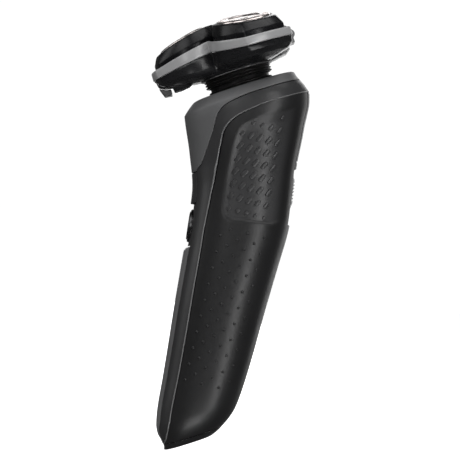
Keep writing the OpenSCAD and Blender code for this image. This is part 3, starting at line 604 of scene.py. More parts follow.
class ShaverColours(bpy.types.PropertyGroup):
    shoulder: shade("Shoulder", "Satin grey of the shoulder cover", (0.1, 0.101, 0.103))
    side_frame: shade("Side frame", "Dark satin of the side frame", (0.028, 0.028, 0.029))
    # A painted highlight: this pale grey stands for light caught by the frame's inner edge, whose
    # own colour is the frame's dark satin
    highlight_bead: shade("Frame bead", "Polished grey of the frame's inner edge", (0.14, 0.14, 0.142))
    panel: shade("Front panel", "Grey of the front column", (0.16, 0.16, 0.163))
    grip: shade("Grip", "Soft black of the grips", (0.0105, 0.0105, 0.011))
    # The paler recess colour is painted light that the finger recess's floor catches
    recess: shade("Recess", "Paler rubber in the finger recess", (0.026, 0.026, 0.027))
    bellows: shade("Bellows", "Black of the neck bellows", (0.006, 0.006, 0.006))
    petal: shade("Petals", "Gloss black of the petals", (0.006, 0.006, 0.007))
    chamber: shade("Hair chamber", "Gloss black of the hair chamber", (0.01, 0.01, 0.011))
    bezel: shade("Bezel", "Silver grey of the head's band", (0.31, 0.31, 0.314))
    tab: shade("Release tab", "Grey of the head's release tab", (0.05, 0.05, 0.052))
    track: shade("Slider track", "Black of the slider's track", (0.01, 0.01, 0.01))
    ring: shade("Button ring", "Dark bright metal round the button", (0.09, 0.09, 0.092))
    steel: shade("Steel", "Steel of blades and shafts", (0.62, 0.61, 0.6))
    cap: shade("Caps", "Faintly warm steel of the shaving caps", (0.66, 0.6, 0.58))


class ShaverSizes(bpy.types.PropertyGroup):
    skin: length("Skin", "Thickness of the outer skins", 1.8)
    edge: length("Edge", "Rounding along the seams", 0.22)
    dot_r: length("Dot radius", "Radius of a raised dot on the grip", 0.58)
    dot_rise: length("Dot rise", "Height of a raised dot", 0.4)
    dot_row: length("Dot row", "Distance between rows of dots", 3.05)
    dot_step: length("Dot step", "Distance between dots in a row", 6.4)
    dash_l: length("Dash length", "Length of a raised dash in the recess", 3.2)
    dash_w: length("Dash width", "Width of a raised dash", 1.6)
    dash_rise: length("Dash rise", "Height of a raised dash", 0.5)
    dash_row: length("Dash row", "Distance between rows of dashes", 4.67)
    dash_step: length("Dash step", "Distance between dashes in a row", 3.5)
    slots: IntProperty(
        name="Slots", description="Slots round a shaving cap", default=90, min=24, max=120
    )


def sizes():
    return bpy.context.scene.shaver_sizes


class ShaverPiece:
    """What the operators share."""

    bl_options = {"REGISTER", "UNDO"}


# ---- handle


class SHAVER_OT_shoulder(ShaverPiece, bpy.types.Operator):
    """Grey shoulder cover with its front bib, top chamfer and round neck opening"""

    bl_idname = "shaver.shoulder"
    bl_label = "Shoulder cover"

    def execute(self, context):
        def low(a):
            a = (a + 90) % 360 - 90
            a = 180 - a if a > 90 else a
            return BIB_FOOT if a < -61.9 else table(OUTER_BY_A, a) + 0.3

        def wall(v, d, drop=0.0):
            """A ring v of the way from the seam to the level top."""
            return lambda a: skin(low(a) + drop + v * (SHOULDER_TOP - low(a) - drop), a, d)

        def top(t, h=0.0):
            """A ring t of the way from the rim to the neck's opening, h up."""
            up = head(0, 0, h) - head(0, 0, 0)
            return lambda a: skin(141.5, a).lerp(polar(NECK_HOLE_R, a, SHOULDER_H), t) + up

        rings = [wall(0, 0.3), wall(0, 0.08, 0.08), wall(0, 0, 0.3)]
        rings += [wall(i / 16, 0, 0.3 * (1 - i / 16)) for i in range(1, 14)]
        rings += [wall(v, 0) for v in (0.86, 0.9, 0.925, 0.95, 0.965, 0.98, 1)]
        rings += [level(u) for u in (138.7, 139.0, 139.6, 140.4, 141.0)]
        rings += [level(141.3, 0.05), level(141.5, 0.25)]
        rings += [top(t) for t in (0.06, 0.2, 0.5, 0.85)] + [top(0.97, -0.02), top(1, -0.25)]
        rings += [lambda a: polar(NECK_HOLE_R, a, SHOULDER_H - 1.8), level(139.2, 2.2)]
        rings += [wall(v, 1.8) for v in (1, 0.6, 0.3, 0)]
        make(loft(240, rings, -90), "shoulder_shell", "shoulder", "handle", ["shoulder_cover"],
             sharp=32)
        return {"FINISHED"}


class SHAVER_OT_side_frame(ShaverPiece, bpy.types.Operator):
    """Dark band up both sides and round the back, and the bridge over the button"""

    bl_idname = "shaver.side_frame"
    bl_label = "Side frame and bridge"

    def execute(self, context):
        us, angles = seam_curves(OUTER_SEAM)
        gu, ga = seam_curves(GRIP_SEAM)
        last = len(OUTER_SEAM) - 1

        def band(s, share, d=0.0):
            """Up one side and down the other with s, a share of the way to the grip's seam."""
            k = last * (1 - abs(2 * s - 1))
            u = us(k) + share * (gu(k) - us(k))
            a = angles(k) + SEAM_A + share * (ga(k) - angles(k) - 2 * SEAM_A)
            p = skin(u, a, d)
            return p if s <= 0.5 else Vector((-p.x, p.y, p.z))

        def highlight_bead(s, t):
            """A slim raised strip along the edge that meets the grip, in pale grey as a painted
            highlight.
            """
            return band(s, 0.93 + 0.07 * t, -0.16 * math.sin(math.pi * min(1.0, t + 0.12)))

        bm = on_handle(480, 16, band)
        make(bm, "side_band", "frame", "handle", ["side_frame"],
             wall=sizes().skin / MM, edge=1.4 * sizes().edge / MM)
        # The raised strip is pale grey: a painted highlight along the frame's edge by the grip
        make(on_handle(480, 6, highlight_bead), "frame_highlight_bead", "highlight_bead", "handle", wall=0.5)

        def bridge(s, t):
            u = 99.6 + 12.4 * t
            half = 90 + table(OUTER_BY_U, u) - 2 * SEAM_A
            return skin(u, -90 + (2 * s - 1) * half)

        bm = on_handle(48, 24, bridge)
        make(bm, "bridge_plate", "frame", "handle", ["front_bridge"],
             wall=sizes().skin / MM, edge=sizes().edge / MM)
        return {"FINISHED"}


class SHAVER_OT_front_column(ShaverPiece, bpy.types.Operator):
    """Grey front panel, and the sunk plate that the button stands in"""

    bl_idname = "shaver.front_column"
    bl_label = "Front panel and button plate"

    def execute(self, context):
        def column(s, t):
            u = 3 + 78.8 * t
            half = 90 + PANEL_EDGE(u)
            return skin(u, -90 + (2 * s - 1) * half, 0.7 * ease((u - 80.9) / 0.9))

        bm = on_handle(40, 170, column)
        make(bm, "front_column", "panel", "handle", ["front_panel"],
             wall=2.4, edge=sizes().edge / MM)

        rise = (skin(BUTTON_U + 5, -90).z - skin(BUTTON_U - 5, -90).z) / (10 * MM)

        def plate(v, d):
            def ring(a):
                x, y, k = squared(a)
                qu = BUTTON_U + (8.8 if y > 0 else 8.2) * y * k
                qa = -90 + 29 * x * k
                pu, px = BUTTON_U + 6.6 * y / rise, 6.6 * x
                w = WIDTH(pu) - d
                pa = -90 + math.degrees(math.asin(spow(px / w, 1.2)))
                return skin(pu + v * (qu - pu), pa + v * (qa - pa), d)

            return ring

        outside = [plate(v, PANEL_DROP) for v in (0.985, 0.9, 0.7, 0.5, 0.3, 0.15, 0.02)]
        inside = [plate(v, PANEL_DROP + 1.6) for v in (0, 0.3, 0.6, 1)]
        rings = [plate(1, PANEL_DROP + 0.15)] + outside + [plate(0, PANEL_DROP + 0.15)] + inside
        make(loft(160, rings), "button_seat", "frame", "handle", ["button_plate"])
        return {"FINISHED"}


def grip_front(u):
    return table(GRIP_BY_U, u) + 2 * SEAM_A


def grip_back(u):
    wide, narrow = STRIP_EDGE - 2 * SEAM_A, BACK_EDGE - 2 * SEAM_A
    return wide + (narrow - wide) * ease((u - 77.5) / 0.7)


def on_side(y, z):
    """Station and angle of the point of the right side at a depth y and height z, in mm."""
    u = z - y * math.tan(LEAN)
    if not 6 < u < 127:
        return None
    f, b = FRONT(u), BACK(u)
    k = (y - (f + b) / 2) / ((b - f) / 2)
    if abs(k) > 0.93:
        return None
    return u, math.degrees(math.asin(spow(k, 1 / ROUND)))


def lit_floor_share(u, a):
    """1 on the recess floor, 0 outside it: the share of painted light on the floor, which also
    bounds where dashes stand.
    """
    e = min((a - RECESS_FRONT(u)) / 3, (50 - a) / 16, (126.2 - u) / 2, (u - RECESS_FOOT(a)) / 2)
    return ease(e)


def grip_shell(side):
    stations = [2.8 + 0.5 * i for i in range(10)] + [7.8 + 0.72 * i for i in range(97)]
    stations += [77.4, 77.6, 77.8, 78.0, 78.2] + [78.6 + 0.5 * i for i in range(103)]
    stations += [130.5, 130.75, 130.9]
    last = len(stations) - 1

    def place(s, t):
        u = stations[round(t * last)]
        f, b = grip_front(u), grip_back(u)
        a = f + s * (b - f)
        p = skin(u, a, recess_depth(u, a))
        return Vector((side * p.x, p.y, p.z))

    bm = on_handle(84, last, place)
    # The recess attribute carries the painted light onto the recess floor
    painted_light_layer = bm.verts.layers.float.new("recess")
    for v in bm.verts:
        hit = on_side(v.co.y / MM, v.co.z / MM) if v.co.x * side > 0.006 else None
        v[painted_light_layer] = lit_floor_share(*hit) if hit else 0.0
    return bm


def grip_spots():
    """Dots and dashes: y and z in mm, turn, half lengths and rise; only a dash is turned."""
    size = sizes()
    for i in range(int(DOT_FIELD * MM / size.dot_row)):
        z = 21.6 + i * size.dot_row / MM
        for j in range(-1, 2):
            y = -3.7 + (j + 0.5 * (i % 2)) * size.dot_step / MM
            yield y, z, 0.0, size.dot_r, size.dot_r, size.dot_rise
    for i in range(DASH_ROWS):
        z = 86.8 + i * size.dash_row / MM
        for j in range(-3, 5):
            y = -9.6 + j * size.dash_step / MM - 0.27 * i
            yield y, z, DASH_TURN, size.dash_l / 2, size.dash_w / 2, size.dash_rise


def add_dash(bm, place, long, wide, rise):
    """One raised dash: a low bar with round ends and a softened top."""
    one = bmesh.new()
    bmesh.ops.create_cube(one, size=2, matrix=Matrix.Diagonal((long, wide, rise, 1)))
    upright = [e for e in one.edges if abs(e.verts[0].co.z - e.verts[1].co.z) > 1e-5]
    round_off(one, upright, wide * 0.7, 3)
    top = [e for e in one.edges if all(v.co.z > rise * 0.9 for v in e.verts)]
    round_off(one, top, rise * 0.5, 2)
    bmesh.ops.transform(one, matrix=place, verts=one.verts[:])
    # Each dash takes the full painted light of the recess floor
    painted_light_layer = one.verts.layers.float.new("recess")
    for v in one.verts:
        v[painted_light_layer] = 1.0
    mesh = bpy.data.meshes.new("dash")
    one.to_mesh(mesh)
    one.free()
    bm.from_mesh(mesh)
    bpy.data.meshes.remove(mesh)


def grip_bumps(side):
    """Dots and dashes, each a small dome or bar pressed out of the skin."""
    bm = bmesh.new()
    bm.verts.layers.float.new("recess")
    for y, z, turn, long, wide, rise in grip_spots():
        hit = on_side(y, z)
        if not hit:
            continue
        u, a = hit
        if turn:
            if lit_floor_share(u, a) < 0.9:
                continue
            # Dashes shrink towards the recess's edges
            far = min((a - RECESS_FRONT(u)) / 7, (46 - a) / 16, (126.6 - u) / 11,
                      (u - RECESS_FOOT(a)) / 13)
            keep = 0.1 + 0.9 * ease(far)
            wide *= 0.65 + 0.35 * keep
            long = wide + (long - wide) * keep
        elif u > RECESS_FOOT(a) - 2 or a < grip_front(u) + 9:
            continue
        n = skin_normal(u, a)
        flat = Vector((0, math.cos(turn), math.sin(turn)))
        along = (flat - n * flat.dot(n)).normalized()
        place = Matrix((along, n.cross(along), n)).transposed().to_4x4()
        place.translation = skin(u, a, recess_depth(u, a)) - n * rise * 0.15
        if turn:
            add_dash(bm, place, long, wide, rise)
        else:
            made = bmesh.ops.create_uvsphere(bm, u_segments=14, v_segments=8, radius=1)
            grow = Matrix.Diagonal((long, wide, rise * 1.15, 1))
            bmesh.ops.transform(bm, matrix=place @ grow, verts=made["verts"])
    if side < 0:
        bmesh.ops.transform(bm, matrix=Matrix.Diagonal((-1, 1, 1, 1)), verts=bm.verts[:])
    bmesh.ops.recalc_face_normals(bm, faces=bm.faces[:])
    return bm


class SHAVER_OT_grips(ShaverPiece, bpy.types.Operator):
    """Rubber grips with a finger recess, raised dots low down and raised dashes in the recess"""

    bl_idname = "shaver.grips"
    bl_label = "Rubber grips"

    def execute(self, context):
        for side, name in ((1, "right"), (-1, "left")):
            make(grip_shell(side), f"grip_shell_{name}", "grip", "handle",
                 [f"grip_{name}"], wall=1.8, edge=sizes().edge / MM)
            make(grip_bumps(side), f"grip_bumps_{name}", "grip", "handle")
        return {"FINISHED"}


class SHAVER_OT_back(ShaverPiece, bpy.types.Operator):
    """Back spine, ribbed trimmer slider and the trimmer's cover"""

    bl_idname = "shaver.back"
    bl_label = "Back strip, slider and trimmer cover"

    def execute(self, context):
        def strip(s, t):
            return skin(2.8 + 74.8 * t, STRIP_EDGE + s * (180 - 2 * STRIP_EDGE))

        make(on_handle(12, 150, strip), "spine", "frame", "handle", ["back_strip"],
             wall=1.8, edge=0.2)

        from_a, to_a = BACK_EDGE + 2 * SEAM_A, 180 - BACK_EDGE - 2 * SEAM_A

        def key(s, t):
            u = 84.5 + 13.7 * t
            a = from_a + s * (to_a - from_a)
            ends = 0.65 * (1 - ease((u - 84.5) / 2.4)) + 0.6 * ease((u - 95.6) / 2.4)
            middle = ease((u - 87.2) / 0.8) * ease((95.3 - u) / 0.8)
            side = ease(min(s, 1 - s) / 0.14)
            rib = 0.22 * (1 + math.cos(math.tau * (u - 91.3) / 1.35)) * middle * side
            return skin(u, a, 0.3 * middle * side + ends * 0.9 - rib)

        bm = on_handle(48, 160, key)
        make(bm, "slider_key", "key", "slider", ["trimmer_slider"],
             wall=1.2, edge=0.2)

        def cover(s, t):
            u = 100.4 + 30 * t
            a = from_a + s * (to_a - from_a)
            groove = 0.35 * ease(1 - abs(u - 103.2) / 0.5)
            return skin(u, a, groove * ease(min(s, 1 - s) / 0.1))

        bm = on_handle(40, 120, cover)
        make(bm, "trimmer_lid", "frame", "trimmer", ["trimmer_cover"],
             wall=1.6, edge=0.25)
        return {"FINISHED"}


class SHAVER_OT_base(ShaverPiece, bpy.types.Operator):
    """Slanted bottom cap with the charging socket's mouth"""

    bl_idname = "shaver.base"
    bl_label = "Bottom cap"

    def execute(self, context):
        def mouth(h, grow=0.0):
            def ring(a):
                x, y, k = squared(a)
                p = Vector(((4.65 + grow) * k * x, (3.15 + grow) * k * y, h))
                return Matrix.Rotation(LEAN, 3, "X") @ p * MM

            return ring

        def seat(t):
            return lambda a: mouth(0, 0.2)(a).lerp(skin(0, a, 0.25), t)

        rings = [mouth(0.2), mouth(0, 0.2), seat(0.3), seat(0.7), level(0, 0.25), level(0.08, 0.08)]
        rings += [level(u) for u in (0.3, 0.8, 1.5, 2.2)] + [level(2.45, 0.04), level(2.55, 0.16)]
        rings += [level(2.4, 1.6), level(1.8, 2.4), mouth(1.5)]
        bm = loft(192, rings, -90)
        make(bm, "seat_cap", "grip", "handle", ["bottom_cap"], sharp=30)
        return {"FINISHED"}


class SHAVER_OT_button(ShaverPiece, bpy.types.Operator):
    """Dished power button in its bright ring"""

    bl_idname = "shaver.button"
    bl_label = "Power button and ring"

    def execute(self, context):
        place = button_matrix()
        disc = [(0, 0.82), (1.5, 0.84), (3, 0.92), (4, 1.03), (4.6, 1.14), (4.9, 1.2), (5.1, 1.2),
                (5.25, 1.14), (5.34, 1.0), (5.35, 0.8), (5.35, -0.3), (0, -0.3)]
        make(turned(disc, 96, place), "button_disc", "frame", "power_key",
             ["power_button"])
        ring = [(6.25, -0.5), (6.25, 0.45), (6.2, 0.62), (6.08, 0.75), (5.9, 0.8), (5.7, 0.76),
                (5.55, 0.64), (5.5, 0.45), (5.5, -0.5)]
        make(turned(ring, 96, place, close=True), "button_collar", "ring", "handle",
             ["button_ring"])
        return {"FINISHED"}


# ---- neck and head


class SHAVER_OT_neck(ShaverPiece, bpy.types.Operator):
    """Ribbed rubber bellows round the neck, with its pale flange on top"""

    bl_idname = "shaver.neck"
    bl_label = "Neck bellows"

    def execute(self, context):
        low, top, ribs = 1.2, 4.3, 3
        step = (top - low) / ribs
        rib = [(0.04, 12.3), (0.2, 12.55), (0.34, 12.9), (0.5, 13.0), (0.66, 12.9), (0.8, 12.55),
               (0.96, 12.3)]
        profile = [(r, low + i * step + share * step) for i in range(ribs) for share, r in rib]
        profile += [(12.25, 4.32), (13.35, 4.34), (13.5, 4.4), (13.5, 4.5), (13.4, 4.58),
                    (11.9, 4.58), (11.9, 1.2)]
        bm = turned(profile, 120, head_matrix(), close=True)
        make(bm, "bellows_skin", "bellows", "head_base", ["neck_bellows"],
             sharp=48)
        foot = [(10.7, -3.6), (11.4, -3.6), (11.4, -1.7), (12.1, -1.65), (12.35, -1.45),
                (12.35, -1.25), (12.1, -1.05), (11.85, -0.95), (12.1, -0.85), (12.35, -0.65),
                (12.35, -0.45), (12.1, -0.25), (11.6, -0.15), (11.4, 0.1), (11.4, 2.6),
                (10.7, 2.6)]
        make(turned(foot, 120, head_matrix(), close=True), "bellows_foot", "bellows",
             "handle", ["neck_collar"], sharp=48)
        flange = [(12.5, 4.36), (13.92, 4.36), (14, 4.42), (14, 4.54), (13.92, 4.6), (12.5, 4.6)]
        make(turned(flange, 120, head_matrix(), close=True), "bellows_flange", "panel",
             "head_base")
        return {"FINISHED"}


def bar(outline, half, soft):
    """An outline in the head's middle plane, drawn out to both sides, its edges rounded."""
    bm = bmesh.new()
    face = bm.faces.new([bm.verts.new(head(-half, s, h)) for s, h in outline])
    moved = bmesh.ops.extrude_face_region(bm, geom=[face])
    verts = [e for e in moved["geom"] if isinstance(e, bmesh.types.BMVert)]
    bmesh.ops.translate(bm, vec=(2 * half * MM, 0, 0), verts=verts)
    bmesh.ops.recalc_face_normals(bm, faces=bm.faces[:])
    round_off(bm, bm.edges[:], soft * MM, 3)
    return bm


class SHAVER_OT_chamber(ShaverPiece, bpy.types.Operator):
    """Gloss hair chamber under the head, and the grey release tab at its front"""

    bl_idname = "shaver.chamber"
    bl_label = "Hair chamber and release tab"

    def execute(self, context):
        def shell(k, least, h):
            return lambda a: polar(max(k * rim(a), 13.5 + least), a, h)

        def lip(inset, drop):
            return lambda a: polar(rim(a) - inset, a, bezel_foot(a) - drop)

        outside = [(0, 0.0, 4.62), (0.7, 0.05, 5.5), (0.715, 0.05, 5.62), (0.79, 0.07, 6.02),
                   (0.872, 0.1, 6.44), (0.885, 0.1, 6.55), (0.925, 0.12, 7.3), (0.96, 0.15, 8.0),
                   (0.968, 0.15, 8.2)]
        edge = [(0.75, 0.9), (0.5, 0.5), (0.35, 0.32), (0.45, 0.25), (1.7, 0.25)]
        inside = [(0.9, -1.5, 7.9), (0.74, -1.6, 6.8), (0, -2.3, 6.0), (0, -2.3, 4.62)]
        rings = [shell(*row) for row in outside] + [lip(*row) for row in edge]
        bm = loft(360, rings + [shell(*row) for row in inside], -90)
        make(bm, "chamber_shell", "chamber", "head_base", ["hair_chamber"],
             sharp=26)

        outline = [(-29.9, 6.9), (-28.8, 3.7), (-25.8, 3.3), (-25.5, 5.4), (-27.4, 5.7)]
        bm = bar(outline, 5, 0.35)
        make(bm, "release_tab", "tab", "release_key", ["release_button"])

        cradle = [(-30.0, 9.6), (-29.9, 7.3), (-27.6, 6.2), (-24.95, 5.75), (-24.6, 3.8),
                  (-22, 3.75), (-18.4, 4.15), (-17.2, 4.8), (-21.5, 6.2), (-26, 6.9)]
        make(bar(cradle, 5.6, 0.22), "tab_cradle", "glossy", "head_base")
        return {"FINISHED"}


class SHAVER_OT_bezel(ShaverPiece, bpy.types.Operator):
    """Silver band round the head, arched up at the waists between the lobes"""

    bl_idname = "shaver.bezel"
    bl_label = "Bezel"

    def execute(self, context):
        def ring(inset, share, offset):
            def at(a):
                h = bezel_foot(a) + share * (bezel_lip(a) - bezel_foot(a)) + offset
                return polar(rim(a) - inset, a, h)

            return at

        section = [(0.3, 0, 0), (0.08, 0, 0.08), (0, 0, 0.3), (0, 0.33, 0), (0, 0.66, 0),
                   (0, 1, -0.6), (0.05, 1, -0.4), (0.22, 1, -0.12), (0.5, 1, 0), (1.35, 1, 0),
                   (1.55, 1, -0.06), (BEZEL_T, 1, -0.2), (BEZEL_T, 0.5, 0), (BEZEL_T, 0, 0)]
        bm = loft(480, [ring(*row) for row in section], -90)
        make(bm, "bezel_band", "bezel", "head_top", ["bezel_ring"], sharp=60)
        return {"FINISHED"}


def petal(k):
    wall = BEZEL_T + 0.45
    split = PITCH * sind(60) - 0.45
    ring = CAP_R + 0.35
    turn = math.radians(LOBES[k])

    def reach(p):
        q = abs(p)
        r0 = LOBE_R - wall + 0.85 * corner(p)
        if q > 150:
            return split / cosd(q - 150)
        if q > 110:
            return r0 + (min(split, r0 + 9) - r0) * (q - 110) / 40
        return r0

    def plane(x):
        return HEAD_TOP - x * math.tan(CAP_LEAN)

    def spot(r, p):
        return PITCH + r * cosd(p), r * sind(p)

    def way(v):
        return LOBES[k] + math.degrees(math.atan2(v[1], v[0]))

    def foot(p, r):
        v = spot(r, p)
        t = max(0.0, min(1.0, (abs(p) - 150) / 20))
        return (1 - t) * (bezel_lip(way(v)) - 1.2) + t * (plane(v[0]) - 3)

    def side(p, r):
        v = spot(r, p)
        return min(plane(v[0]) - 0.7, max(foot(p, r) + 1, bezel_lip(way(v)) + 2.1))

    def turned_head(x, y, h):
        """A point given with x along this lobe's middle line."""
        return head(x * math.cos(turn) - y * math.sin(turn),
                    x * math.sin(turn) + y * math.cos(turn), h)

    def at(p, r, h):
        return turned_head(*spot(r, p), h)

    def shoulder(p):
        r = 0.45 * reach(p) + 0.55 * ring
        return at(p, r, plane(spot(r, p)[0]) - 0.15)

    def low(p):
        return at(p, reach(p), foot(p, reach(p)))

    def brow(p):
        return at(p, reach(p), side(p, reach(p)))

    def hole(p, z, grow=0.0):
        r = ring + grow
        c, s = cosd(p), sind(p)
        x = PITCH + r * c * math.cos(CAP_LEAN) + z * math.sin(CAP_LEAN)
        h = CAP_H - r * c * math.sin(CAP_LEAN) + z * math.cos(CAP_LEAN)
        return turned_head(x, r * s, h)

    def lip(p):
        return hole(p, 0.2)

    def turned_edge(f, g, h, near=0.3):
        """Rings just before, on and after g, so that its edge is rounded."""

        def towards(other):
            return lambda p: g(p) + (other(p) - g(p)).normalized() * near * MM

        before, after = towards(f), towards(h)
        return [before, lambda p: g(p).lerp((after(p) + before(p)) / 2, 0.55), after]

    rings = [low] + turned_edge(low, brow, shoulder)
    rings += [lambda p: brow(p).lerp(shoulder(p), 0.5)] + turned_edge(brow, shoulder, lip)
    rings += [lambda p: hole(p, 0.2, 0.25), lambda p: hole(p, 0.12, 0.06)]
    rings += [lambda p: hole(p, -0.1), lambda p: hole(p, -1.4)]
    rings += [lambda p: at(p, reach(p) - 1.2, foot(p, reach(p)))]
    return loft(240, rings, -180)


class SHAVER_OT_petals(ShaverPiece, bpy.types.Operator):
    """Three faceted gloss petals, each pointed towards the middle of the head"""

    bl_idname = "shaver.petals"
    bl_label = "Petals"

    def execute(self, context):
        for k in LOBES:
            make(petal(k), f"petal_shell_{k}", "petal", f"petal_body_{k}",
                 [f"petal_{k}"], sharp=42)
        return {"FINISHED"}


class SHAVER_OT_caps(ShaverPiece, bpy.types.Operator):
    """Three shaving caps with a raised, slotted track round a dished middle"""

    bl_idname = "shaver.caps"
    bl_label = "Shaving caps"

    def execute(self, context):
        steps = sizes().slots * SLOT_STEPS
        top = [(2.2, 0.4), (4.2, 0.4), (5.6, 0.42), (6.0, 0.5), (6.2, 0.72), (6.4, 0.86),
               (6.7, 0.92), (7.3, 0.94), (8.0, 0.94), (8.6, 0.92), (9.1, 0.86), (9.5, 0.72),
               (9.75, 0.54), (9.92, 0.3)]
        profile = [(0, 0.62), (0.9, 0.62), (1.5, 0.58), (1.9, 0.42)] + top
        profile += [(10.0, 0.1), (10.0, -1.4)]
        for k in LOBES:
            place = cap_matrix(k)
            bm = turned(profile, steps, place)
            back = place.inverted()
            cut = []
            for f in bm.faces:
                c = back @ f.calc_center_median() / MM
                r = math.hypot(c.x, c.y)
                column = int((math.degrees(math.atan2(c.y, c.x)) % 360) / (360 / steps))
                if 6.9 < r < 9.6 and column % SLOT_STEPS < SLOT_OPEN:
                    cut.append(f)
            bmesh.ops.delete(bm, geom=cut, context="FACES")
            axis = (place.to_3x3() @ Vector((0, 0, 1))).normalized()
            top_face = max(bm.faces, key=lambda f: abs(f.normal.dot(axis)) * f.calc_area())
            if top_face.normal.dot(axis) < 0:
                bmesh.ops.reverse_faces(bm, faces=bm.faces[:])
            make(bm, f"cap_foil_{k}", f"cap {k}", f"petal_body_{k}", [f"cap_{k}"],
                 wall=0.28, sharp=50)
        return {"FINISHED"}


# ---- carried-over parts and stage

CARRIED = {
    "black": "charging_socket front_chassis rear_chassis shoulder_chassis motor_clamp neck_base "
    "trimmer_well trimmer_bracket head_yoke gear_cover head_frame",
    "shaft": "chassis_screws power_switch motor_can motor_shaft drive_shaft trimmer_pin "
    "trimmer_arm gimbal_ring head_hinge_pin",
    "steel": "trimmer_comb trimmer_blade cutter_front cutter_right cutter_left",
    "ivory": "middle_gear drive_gear_front drive_gear_right drive_gear_left",
    "panel": "head_hinge head_tongue",
    "brass": "contact_pins battery_tabs",
    "wrap": "battery_cell",
    "board": "circuit_board",
    "track": "slider_track",
}


class SHAVER_OT_carried(ShaverPiece, bpy.types.Operator):
    """Finishes for the parts inside and for small parts whose shape stays as it is"""

    bl_idname = "shaver.carried"
    bl_label = "Finishes of carried-over parts"

    def execute(self, context):
        for look, names in CARRIED.items():
            for name in names.split():
                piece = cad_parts[name]
                piece.data.materials.clear()
                piece.data.materials.append(finish(look))
        return {"FINISHED"}


MIDDLE = (0, -0.007, 0.08)
# name, place, target, width, height, power
LIGHTS = [
    ("key", (0.8, -0.75, 0.8), MIDDLE, 0.8, 0.8, 5),
    ("strip", (0.7, 0.46, 0.12), MIDDLE, 0.18, 1.0, 4.2),
    ("far", (-0.82, -0.18, 0.49), (0, -0.03, 0.155), 0.5, 0.4, 0.4),
    ("fill", (1.15, -0.25, 0.2), MIDDLE, 0.22, 0.22, 0.9),
    ("low", (0.75, 0.25, -0.62), (0, 0, 0.01), 0.3, 0.3, 2.5),
    ("top", (0.2, 0.1, 1.1), MIDDLE, 0.8, 0.8, 5),
    ("front", (0.1, -1.0, 0.3), MIDDLE, 0.4, 0.9, 2.2),
    ("back", (-0.9, 0.7, 0.3), MIDDLE, 0.4, 0.8, 1.2),
    ("left", (-1.15, 0.05, 0.4), MIDDLE, 0.7, 0.9, 4),
]
ROOM_LIGHT = 0.07
SEEN_LIGHT = 1.05
LENS = 150
SENSOR = 36
CAMERA_ROLL = math.radians(13.7)
VIEW_CENTRE = (0, -0.0071, 0.0793)
VIEW_HEIGHT = 0.1736


def add_light(name, place, target, wide, high, power):
    data = bpy.data.lights.new(name, "AREA")
    data.shape = "RECTANGLE"
    data.size, data.size_y, data.energy = wide, high, power
    lamp = bpy.data.objects.new(name, data)
    bpy.context.scene.collection.objects.link(lamp)
    way = Vector(place) - Vector(target)
    spin = way.to_track_quat("Z", "Y").to_matrix().to_4x4()
    lamp.matrix_world = Matrix.Translation(place) @ spin


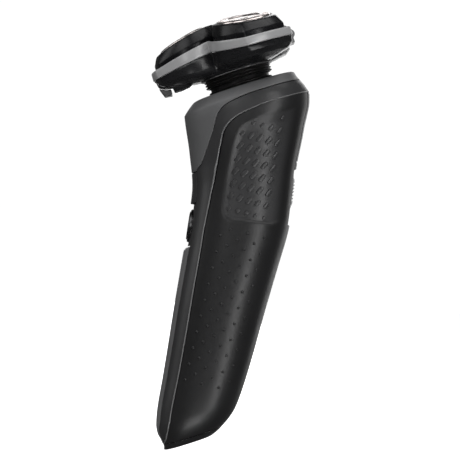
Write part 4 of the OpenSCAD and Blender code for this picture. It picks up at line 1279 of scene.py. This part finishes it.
class SHAVER_OT_stage(ShaverPiece, bpy.types.Operator):
    """Pale floor, soft studio light and the camera"""

    bl_idname = "shaver.stage"
    bl_label = "Stage, light and camera"

    def execute(self, context):
        scene = context.scene
        floor_z = cad_box[0][2] - 0.0004
        bm = bmesh.new()
        bmesh.ops.create_grid(bm, x_segments=24, y_segments=24, size=6)
        bmesh.ops.translate(bm, vec=(0, 0, floor_z), verts=bm.verts[:])
        mesh = bpy.data.meshes.new("floor")
        bm.to_mesh(mesh)
        bm.free()
        floor = bpy.data.objects.new("floor", mesh)
        scene.collection.objects.link(floor)
        mat, tree, shader, coords = material("pale floor", 0.7, 0.0, 0.2)
        grain = noise(tree, coords, 30, 3)
        tint(tree, shader, grain, (0.8, 0.8, 0.8), 1, 1.025)
        shader.inputs["Emission Color"].default_value = (1, 1, 1, 1)
        shader.inputs["Emission Strength"].default_value = 0.95
        mesh.materials.append(mat)
        floor.visible_glossy = False
        floor.visible_diffuse = False
        floor.visible_shadow = False

        world = bpy.data.worlds.new("studio")
        scene.world = world
        world.use_nodes = True
        tree = world.node_tree
        room = tree.nodes["Background"]
        room.inputs["Color"].default_value = (1, 1, 1, 1)
        room.inputs["Strength"].default_value = ROOM_LIGHT
        seen = node(tree, "ShaderNodeBackground", {"Color": (1, 1, 1, 1), "Strength": SEEN_LIGHT})
        ray = tree.nodes.new("ShaderNodeLightPath")
        mix = tree.nodes.new("ShaderNodeMixShader")
        out = tree.nodes["World Output"]
        tree.links.new(ray.outputs["Is Camera Ray"], mix.inputs["Fac"])
        tree.links.new(room.outputs[0], mix.inputs[1])
        tree.links.new(seen.outputs[0], mix.inputs[2])
        tree.links.new(mix.outputs[0], out.inputs["Surface"])

        for row in LIGHTS:
            add_light(*row)

        data = bpy.data.cameras.new("camera")
        data.lens = LENS
        data.sensor_width = SENSOR
        data.clip_start = 0.01
        data.clip_end = 20
        camera = bpy.data.objects.new("camera", data)
        scene.collection.objects.link(camera)
        c, s = math.cos(CAMERA_ROLL), math.sin(CAMERA_ROLL)
        turn = Matrix(((0, 0, 1), (c, -s, 0), (s, c, 0))).to_4x4()
        eye = Vector(VIEW_CENTRE) + Vector((VIEW_HEIGHT * LENS / SENSOR, 0, 0))
        camera.matrix_world = Matrix.Translation(eye) @ turn
        scene.camera = camera
        scene.view_settings.view_transform = "Standard"
        return {"FINISHED"}


# ---- panel and registration

OPERATORS = [
    SHAVER_OT_shoulder, SHAVER_OT_side_frame, SHAVER_OT_front_column, SHAVER_OT_grips,
    SHAVER_OT_back, SHAVER_OT_base, SHAVER_OT_button, SHAVER_OT_neck, SHAVER_OT_chamber,
    SHAVER_OT_bezel, SHAVER_OT_petals, SHAVER_OT_caps, SHAVER_OT_carried, SHAVER_OT_stage,
]


class SHAVER_PT_panel(bpy.types.Panel):
    """Sizes, colours and pieces of the shaver"""

    bl_label = "Rotary Shaver"
    bl_idname = "SHAVER_PT_panel"
    bl_space_type = "VIEW_3D"
    bl_region_type = "UI"
    bl_category = "Shaver"

    def draw(self, context):
        layout = self.layout
        for title, group in (
            ("Sizes", context.scene.shaver_sizes),
            ("Colours", context.scene.shaver_colours),
        ):
            box = layout.box()
            box.label(text=title)
            for name in group.bl_rna.properties.keys():
                if name not in ("rna_type", "name"):
                    box.prop(group, name)
        column = layout.column(align=True)
        for op in OPERATORS:
            column.operator(op.bl_idname)


CLASSES = [ShaverColours, ShaverSizes, *OPERATORS, SHAVER_PT_panel]


def register():
    for cls in CLASSES:
        bpy.utils.register_class(cls)
    bpy.types.Scene.shaver_colours = PointerProperty(type=ShaverColours)
    bpy.types.Scene.shaver_sizes = PointerProperty(type=ShaverSizes)


def unregister():
    del bpy.types.Scene.shaver_sizes
    del bpy.types.Scene.shaver_colours
    for cls in reversed(CLASSES):
        bpy.utils.unregister_class(cls)


def main():
    register()
    for op in OPERATORS:
        group, name = op.bl_idname.split(".")
        getattr(getattr(bpy.ops, group), name)()


if __name__ == "__main__":
    main()
